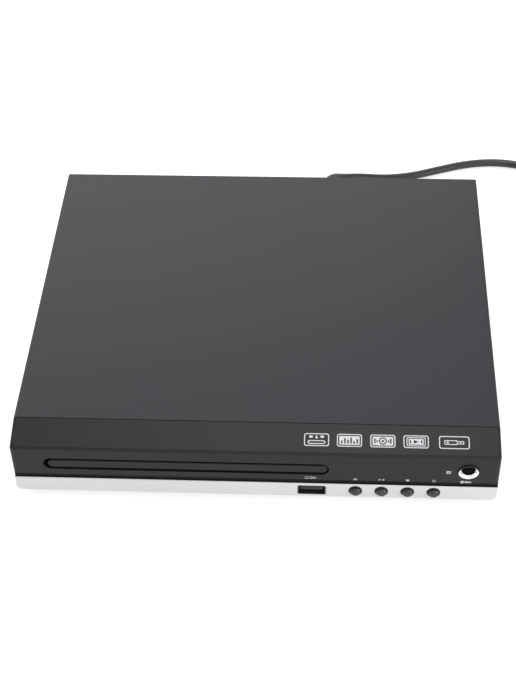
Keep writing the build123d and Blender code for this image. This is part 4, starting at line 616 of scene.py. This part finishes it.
def half_turn(place, side, radius, rise=0.0, count=steps):
    """Adds the control points of a half turn that starts at place, and returns its end."""
    centre = place - Vector((0, side * radius, 0))
    for i in range(count):
        a = math.pi * (i + 0.5) / steps
        points.append(centre + Vector((side * radius * swell * math.sin(a),
                                       side * radius * swell * math.cos(a),
                                       rise * (i + 0.5) / steps)))
    return place - Vector((0, 2 * side * radius, -rise))


for i in range(coil_half_turns):
    place = half_turn(place, side, coil_outer - i * coil_pitch / 2)
    side = -side
climb_radius = coil_outer - coil_half_turns * coil_pitch / 2
place = half_turn(place, side, climb_radius, coil_pitch)
side = -side
for i in range(coil_half_turns - 1):
    place = half_turn(place, side, climb_radius + (i + 1) * coil_pitch / 2)
    side = -side
last_radius = climb_radius + coil_half_turns * coil_pitch / 2
half_turn(place, side, last_radius, 0.0, steps // 2)
turn_end = place + Vector((side * last_radius, -side * last_radius, 0))
coil_end = turn_end - Vector((0, coil_tail, 0))
points.append(turn_end - Vector((0, coil_tail * 0.45, 0)))
points.append(coil_end)

cord_data = bpy.data.curves.new("mains_lead", "CURVE")
cord_data.dimensions = "3D"
cord_data.bevel_depth = cord_diameter / 2 * MM
cord_data.bevel_resolution = 6
cord_data.use_fill_caps = True
spline = cord_data.splines.new("NURBS")
spline.points.add(len(points) - 1)
for p, v in zip(spline.points, points):
    p.co = (*(v * MM), 1)
spline.order_u = 3
spline.use_endpoint_u = True
spline.resolution_u = 6
mains_lead = bpy.data.objects.new("mains_lead", cord_data)
bpy.context.scene.collection.objects.link(mains_lead)
finish_piece(mains_lead, "cord_black", "player")
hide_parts("mains_cord", "cord_coil")

# Ribbed relief in the back wall
profile = [(0, -3.8), (6.2, -3.8), (6.2, -1.8), (4.9, -1.8), (4.9, -1.0), (6.0, -1.0)]
profile += [(6.2, -0.8), (6.2, 0.7), (5.9, 1.0), (4.9, 1.0)]
ribs = 6
for i in range(ribs):
    y0 = 1.3 + i * 1.85
    r = 4.75 - 0.2 * i
    profile += [(r, y0), (r, y0 + 1.05), (r - 0.75, y0 + 1.2), (r - 0.75, y0 + 1.7)]
profile += [(3.5, 12.5), (3.4, 13.0), (2.5, 13.0), (0, 13.0)]
profile = [(r, y + back_y) for r, y in profile]
relief_piece = lathe("ribbed_relief", profile, (cord_x, 0, cord_z), (0, 1, 0), 40)
finish_piece(relief_piece, "cord_black", "player", 40)
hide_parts("cord_relief")

# Moulded plug: ribbed neck, shoulder and a body with grip grooves
plug_sides = 44


def plug_ring(y, half_w, half_h, power):
    """Section across the plug: a circle at power 2, and squarer the higher it is."""
    out = []
    for i in range(plug_sides):
        a = 2 * math.pi * i / plug_sides
        c, s = math.cos(a), math.sin(a)
        out.append(Vector((coil_end.x + half_w * math.copysign(abs(c) ** (2 / power), c), y,
                           coil_high_z + half_h * math.copysign(abs(s) ** (2 / power), s))))
    return out


# Each section: distance behind the coil's end, half width, half height and power
sections = [(0.0, 2.45, 2.45, 2.0), (0.0, 3.2, 3.2, 2.0)]
for i in range(6):
    start = 0.8 + i * 3.3
    r = 3.3 + 0.26 * i
    sections += [(start, r, r, 2.0), (start + 2.0, r, r, 2.0), (start + 2.2, r - 0.7, r - 0.7, 2.0),
                 (start + 3.0, r - 0.7, r - 0.7, 2.0)]
sections += [(21.0, 5.0, 5.0, 2.0), (22.0, 5.6, 5.2, 2.2), (24.0, 7.6, 6.0, 2.6), (27.0, 10.0, 7.4, 3.2),
             (30.0, 11.6, 8.3, 3.8), (31.5, 11.95, 8.45, 4.2)]
for i in range(5):
    start = 33.0 + i * 2.2
    sections += [(start, 11.95, 8.45, 4.2), (start + 0.3, 11.3, 8.1, 4.2), (start + 1.0, 11.3, 8.1, 4.2),
                 (start + 1.3, 11.95, 8.45, 4.2)]
sections += [(45.5, 11.95, 8.45, 4.4), (47.6, 11.9, 8.4, 4.4), (48.6, 11.6, 8.1, 4.4),
             (49.0, 11.0, 7.6, 4.4)]
verts, faces = [], []
for off, w, h, power in sections:
    verts += plug_ring(coil_end.y - off, w, h, power)
for k in range(len(sections) - 1):
    near, far = k * plug_sides, (k + 1) * plug_sides
    for i in range(plug_sides):
        j = (i + 1) % plug_sides
        faces.append([near + i, near + j, far + j, far + i])
faces.append(list(range(plug_sides))[::-1])
faces.append([len(verts) - plug_sides + i for i in range(plug_sides)])
plug_piece = mesh_object("moulded_plug", verts, faces)
tidy_normals(plug_piece)
finish_piece(plug_piece, "cord_black", "player", 35)
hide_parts("mains_plug")

# ---------------------------------------------------------------- signs printed on the panel
up_slope = (0, math.cos(slope_angle), math.sin(slope_angle))
slope_plane = plane_matrix((0, seam_y, top_z), (1, 0, 0), up_slope)
face_plane = plane_matrix((0, front_y, 0), (1, 0, 0), (0, 0, 1))
badge_low, badge_high = -12.2, -5.3
badge_spans = [(24.3, 36.5), (40.3, 52.5), (56.5, 68.75), (72.6, 84.85), (89.8, 104.6)]


def framed(x0, x1, line=0.5, r=1.2):
    """Frame of a sign: its outer and inner outline."""
    return [round_rect(x0, badge_low, x1, badge_high, r),
            round_rect(x0 + line, badge_low + line, x1 - line, badge_high - line, r - 0.35)]


signs = []
# 1: an arrow into a tray, between two blocks
x0, x1 = badge_spans[0]
cx, cy = (x0 + x1) / 2, (badge_low + badge_high) / 2
tray_sign = [round_rect(cx - 4.3, badge_low + 1.1, cx + 4.3, badge_low + 3.2, 1.0),
             round_rect(cx - 3.8, badge_low + 1.6, cx + 3.8, badge_low + 2.7, 0.5)]
arrow = [(cx - 0.9, badge_high - 2.0), (cx + 0.9, badge_high - 2.0), (cx, badge_high - 3.0)]
stem = rect(cx - 0.3, badge_high - 2.05, cx + 0.3, badge_high - 1.1)
signs.append(framed(x0, x1) + tray_sign + [arrow])
signs.append([stem])
signs.append([rect(cx + u, badge_high - 2.4, cx + u + 1.7, badge_high - 1.2) for u in (-3.6, 1.9)])
# 2: bars of a level meter cut out of a pale block
x0, x1 = badge_spans[1]
block = [round_rect(x0 + 1.15, badge_low + 1.1, x1 - 1.15, badge_high - 1.1, 0.45)]
bars = []
for i, height in enumerate((1.6, 2.9, 2.1, 3.3, 1.3, 2.5)):
    left = x0 + 2.0 + i * 1.5
    bars.append(rect(left, badge_low + 1.7, left + 0.75, badge_low + 1.7 + height))
signs.append(framed(x0, x1) + block + bars)
# 3: a disc cut out of a pale block
x0, x1 = badge_spans[2]
cx = (x0 + x1) / 2
block = [round_rect(x0 + 1.1, badge_low + 1.1, x1 - 1.1, badge_high - 1.1, 0.45)]
rings = [disc(cx, cy, r) for r in (1.95, 1.35, 0.6)]
bars = [rect(x0 + 1.9, cy - 1.3, x0 + 2.6, cy + 1.3), rect(x0 + 3.0, cy - 0.7, x0 + 3.6, cy + 0.7),
        rect(x1 - 2.6, cy - 1.3, x1 - 1.9, cy + 1.3), rect(x1 - 3.6, cy - 0.7, x1 - 3.0, cy + 0.7)]
signs.append(framed(x0, x1) + block + rings + bars)
# 4: a picture frame with a play mark
x0, x1 = badge_spans[3]
cx = (x0 + x1) / 2
inner = [round_rect(x0 + 1.5, badge_low + 1.0, x1 - 1.5, badge_high - 1.0, 0.5),
         round_rect(x0 + 1.95, badge_low + 1.45, x1 - 1.95, badge_high - 1.45, 0.3)]
block = [rect(x0 + 2.5, badge_low + 1.9, x1 - 2.5, badge_high - 1.9)]
cuts = [[(cx - 1.1, cy - 1.05), (cx + 1.3, cy), (cx - 1.1, cy + 1.05)],
        rect(cx - 3.1, cy - 0.8, cx - 2.4, cy + 0.8), rect(cx + 2.3, cy - 0.8, cx + 3.0, cy + 0.8)]
signs.append(framed(x0, x1) + inner + block + cuts)
# 5: a memory stick
x0, x1 = badge_spans[4]
cx = (x0 + x1) / 2
signs.append(framed(x0, x1) + [round_rect(cx - 4.9, cy - 1.25, cx + 1.6, cy + 1.25, 0.6),
                               round_rect(cx - 4.45, cy - 0.8, cx + 1.15, cy + 0.8, 0.3),
                               rect(cx + 1.6, cy - 0.85, cx + 4.7, cy + 0.85),
                               rect(cx + 1.6, cy - 0.45, cx + 4.3, cy + 0.45)])
signs.append([disc(cx - 3.2, cy, 0.55)])
signs.append([rect(cx + 2.4, cy - 0.2, cx + 3.5, cy + 0.2)])

for i, shape in enumerate(signs):
    finish_piece(flat_shape(f"badge_sign_{i + 1}", shape, slope_plane), "print", "player")

# signs over the buttons, each drawn about its own middle
sign_z, sign_left = 18.4, 0.4
marks = {
    "eject_sign": [[(-1.1, -0.15), (1.1, -0.15), (0, 0.8)], rect(-1.1, -0.7, 1.1, -0.38)],
    "play_pause_sign": [[(-1.35, -0.65), (-1.35, 0.65), (0.05, 0)], rect(0.35, -0.6, 0.7, 0.6),
                        rect(0.98, -0.6, 1.33, 0.6)],
    "stop_sign": [rect(-0.85, -0.65, 0.85, 0.65)],
    "power_sign": [arc_band(0, -0.05, 0.85, 0.58, 125, 415), rect(-0.14, 0.05, 0.14, 1.0)],
}
for (name, shape), x in zip(marks.items(), button_xs):
    shape = [[(x - sign_left + u, sign_z + v) for u, v in line] for line in shape]
    finish_piece(flat_shape(name, shape, face_plane, 0.02), "print_soft", "player")

# a memory stick over its socket, and a microphone under the ring
stick = [round_rect(24.95, 18.0, 28.55, 19.5, 0.35), round_rect(25.25, 18.3, 28.25, 19.2, 0.15),
         rect(28.55, 18.25, 30.45, 19.25), rect(28.85, 18.55, 30.15, 18.95)]
finish_piece(flat_shape("stick_sign", stick, face_plane, 0.02), "print_soft", "player")
head = disc(102.1, 18.05, 1.0, 20)
handle = [(103.3, 18.75), (106.6, 18.45), (106.6, 17.65), (103.3, 17.35)]
finish_piece(flat_shape("microphone_sign", [head], face_plane, 0.02), "print_soft", "player")
finish_piece(flat_shape("microphone_handle_sign", [handle], face_plane, 0.02), "print_soft", "player")

# ---------------------------------------------------------------- buttons
# nearly flat face, a broad bevel and a short side, then the wings and the stem
dome = [(0, 1.56), (1.1, 1.55), (1.65, 1.51), (1.9, 1.44), (2.1, 1.26), (2.5, 0.72), (2.7, 0.4),
        (2.8, 0.18), (2.88, 0.0), (2.95, -0.15), (2.95, -2.3), (0, -2.3)]
stem_profile = [(0, -8.2), (1.5, -8.2), (1.5, -3.4), (0, -3.4)]
for name, x in zip(("eject", "play", "stop", "power"), button_xs):
    cap = lathe_data(dome, (x, front_y, button_z), (0, -1, 0), 56)
    wing = box_data((x - 5.0, front_y + 2.3, button_z - 2.2), (x + 5.0, front_y + 3.5, button_z + 2.2))
    stem = lathe_data(stem_profile, (x, front_y, button_z), (0, -1, 0), 20)
    obj = mesh_object(f"{name}_cap", *join_data([cap, wing, stem]))
    tidy_normals(obj)
    finish_piece(obj, "dark_button", f"{name}_button", 40)
    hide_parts(f"{name}_button")

# ---------------------------------------------------------------- microphone ring
ring_profile = [(3.25, -2.3), (3.25, -1.1), (3.32, -1.0), (3.7, -0.6), (4.1, -0.2), (4.4, 0.02),
                (4.9, 0.07), (4.9, 0.02), (4.4, 0.0), (4.4, -2.3), (3.25, -2.3)]
ring_piece = lathe("socket_ring", ring_profile, (mic_x, front_y, mic_z), (0, -1, 0), 64)
finish_piece(ring_piece, "bright_ring", "player", 50)
# black collar that stands around it
collar_profile = [(4.9, 0.02), (4.9, 0.68), (4.97, 0.78), (5.1, 0.84), (5.22, 0.8), (5.32, 0.66),
                  (5.36, 0.3), (5.36, 0.0), (4.9, 0.02)]
collar_piece = lathe("socket_collar", collar_profile, (mic_x, front_y, mic_z), (0, -1, 0), 64)
finish_piece(collar_piece, "socket_black", "player", 50)
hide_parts("mic_ring")
# spring contacts inside the bore
leaf = []
for a in (40, 160, 280):
    c, s = math.cos(math.radians(a)), math.sin(math.radians(a))
    leaf.append(box_data((mic_x + 2.5 * c - 0.5, front_y + 7, mic_z + 2.5 * s - 0.5),
                         (mic_x + 2.5 * c + 0.5, front_y + 16, mic_z + 2.5 * s + 0.5)))
contacts = mesh_object("socket_contacts", *join_data(leaf))
bevel_all(contacts, 0.25)
finish_piece(contacts, "bright_steel", "player", 40)

# ---------------------------------------------------------------- button sleeves and painted shadow rings
# Black linings of the four holes, and painted shadow: a black ring on the strip about each hole, widest
# above and to the left, for the shadow of the gap around the cap
bore_radius, shadow_ring_radius, shadow_ring_least, shadow_ring_left, shadow_ring_up = 3.12, 3.4, 3.2, 0.2, 0.5
sleeve = [(bore_radius, -1.4), (bore_radius, 0.0), (3.25, 0.0), (3.25, -1.4), (bore_radius, -1.4)]
parts = []
for x in button_xs:
    edge, bore = [], []
    for u, v in disc(-shadow_ring_left, shadow_ring_up, shadow_ring_radius, 56):
        reach, turn = max(shadow_ring_least, math.hypot(u, v)), math.atan2(v, u)
        edge.append((x + reach * math.cos(turn), button_z + reach * math.sin(turn)))
        bore.append((x + bore_radius * math.cos(turn), button_z + bore_radius * math.sin(turn)))
    parts.append(frame_data(edge, bore, front_y - 0.05, front_y + 0.06))
    parts.append(lathe_data(sleeve, (x, front_y, button_z), (0, -1, 0), 56))
sleeves_and_shadow_rings = mesh_object("button_sleeves_and_shadow_rings", *join_data(parts))
tidy_normals(sleeves_and_shadow_rings)
finish_piece(sleeves_and_shadow_rings, "socket_black", "player", 40)

# ---------------------------------------------------------------- memory-stick socket
# Painted shade: a black lining inside the socket's window stands in for the shade inside it and hides the
# shell's front edge.
outer = round_rect(usb_x - 6.98, button_z - 3.18, usb_x + 6.98, button_z + 3.18, 0.88)
inner = round_rect(usb_x - 6.62, button_z - 2.92, usb_x + 6.62, button_z + 2.92, 0.3)
painted_shade_lining = mesh_object("stick_lining_painted_shade", *frame_data(outer, inner, front_y + 0.12, front_y + 1.7))
tidy_normals(painted_shade_lining)
finish_piece(painted_shade_lining, "socket_black", "player", 40)
# front end of the tongue: a black nose, painted shadow over the carrier's edge, and the brown edge of the
# contacts' carrier, made lighter as a painted highlight of its lit edge
shadow_nose = mesh_object("stick_tongue_shadow_nose", *box_data((usb_x - 5.55, front_y + 0.5, button_z + 0.62),
                                                  (usb_x + 5.55, front_y + 1.85, button_z + 2.25)))
bevel_all(shadow_nose, 0.12)
finish_piece(shadow_nose, "socket_black", "player", 40)
highlight_lip = mesh_object("stick_tongue_highlight_lip", *box_data((usb_x - 5.5, front_y + 0.42, button_z + 0.3),
                                                (usb_x + 5.5, front_y + 1.85, button_z + 0.62)))
bevel_all(highlight_lip, 0.08)
finish_piece(highlight_lip, "carrier_brown_and_highlight", "player", 40)
# four contacts under the tongue
shell_height, shell_wall, tongue_gap, tongue_thickness = 5.8, 0.3, 0.35, 1.9
tongue_low_z = button_z + shell_height / 2 - shell_wall - tongue_gap - tongue_thickness
contact_pitch = 2.5
strips = []
for k in (-1.5, -0.5, 0.5, 1.5):
    x = usb_x + k * contact_pitch
    strips.append(box_data((x - 0.55, front_y + 2.2, tongue_low_z - 0.12),
                           (x + 0.55, front_y + 10.5, tongue_low_z + 0.02)))
pads = mesh_object("stick_contacts", *join_data(strips))
bevel_all(pads, 0.05, 1)
finish_piece(pads, "gold", "player")


# ---------------------------------------------------------------- screws with a cross recess
def cross_head(radius, height, up, origin):
    """Pan head with a cross recess, as mesh data, standing on origin along up."""
    up = Vector(up)
    side = up.orthogonal().normalized()
    other = up.cross(side)
    origin = Vector(origin)
    verts, faces = [], []
    arm, reach, depth = 0.28, radius * 0.58, height * 0.6
    inner = [(reach, arm), (arm, arm), (arm, reach), (-arm, reach), (-arm, arm), (-reach, arm),
             (-reach, -arm), (-arm, -arm), (-arm, -reach), (arm, -reach), (arm, -arm), (reach, -arm)]
    count = len(inner)
    angles = [math.atan2(v, u) for u, v in inner]

    def put(u, v, w):
        verts.append(origin + side * u + other * v + up * w)
        return len(verts) - 1

    def round_row(share, w):
        return [put(radius * share * math.cos(a), radius * share * math.sin(a), w) for a in angles]

    mid = round_row(0.72, height * 0.93)
    top = [put(u, v, height) for u, v in inner]
    low = [put(u * 0.75, v * 0.75, height - depth) for u, v in inner]
    shoulder = round_row(0.95, height * 0.6)
    foot = round_row(1, height * 0.15)
    base = round_row(1, 0)
    for a, b in ((top, mid), (mid, shoulder), (shoulder, foot), (foot, base), (low, top)):
        for i in range(count):
            j = (i + 1) % count
            faces.append([a[i], a[j], b[j], b[i]])
    faces.append(low)
    faces.append(base[::-1])
    return verts, faces


rear_screw_z, side_screw_z = top_z - 4.4, foot_height + 6.6
head_radius, head_height, shank_radius = 2.8, 1.6, 1.4
cover_heads = []
for x in (-96.0, 4.0, 100.0):
    cover_heads.append(((x, back_y, rear_screw_z), (0, 1, 0)))
for s in (-1, 1):
    for y in (seam_y + 42.0, back_y - 34.0):
        cover_heads.append(((s * half_width, y, side_screw_z), (s, 0, 0)))
parts = []
for origin, up in cover_heads:
    parts.append(cross_head(head_radius, head_height, up, origin))
    shank = [(0, -5.0), (shank_radius, -5.0), (shank_radius, 0.05), (0, 0.05)]
    parts.append(lathe_data(shank, origin, up, 12))
heads = mesh_object("cover_screw_heads", *join_data(parts))
tidy_normals(heads)
finish_piece(heads, "black_screw", "player", 35)
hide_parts("cover_screws")

# ---------------------------------------------------------------- feet
profile = [(1.7, foot_height), (8.0, foot_height), (8.0, 4.0), (7.85, 3.6), (7.85, 3.2), (8.0, 2.9),
           (7.9, 1.4), (7.6, 0.5), (7.1, 0.1), (6.8, 0.0), (6.2, 0.0), (6.0, 0.25), (5.4, 0.25),
           (5.2, 0.0), (4.5, 0.0), (4.1, 0.2), (4.0, 0.5), (4.0, 2.4), (1.7, 2.4), (1.7, foot_height)]
foot_parts = []
for x in (-98.0, 98.0):
    for y in (front_y + 30.0, back_y - 24.0):
        foot_parts.append(lathe_data(profile, (x, y, 0), (0, 0, 1), 40))
feet_piece = mesh_object("rubber_feet", *join_data(foot_parts))
tidy_normals(feet_piece)
finish_piece(feet_piece, "black_rubber", "player", 40)
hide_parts("feet")

bpy.context.scene.view_settings.view_transform = "Standard"
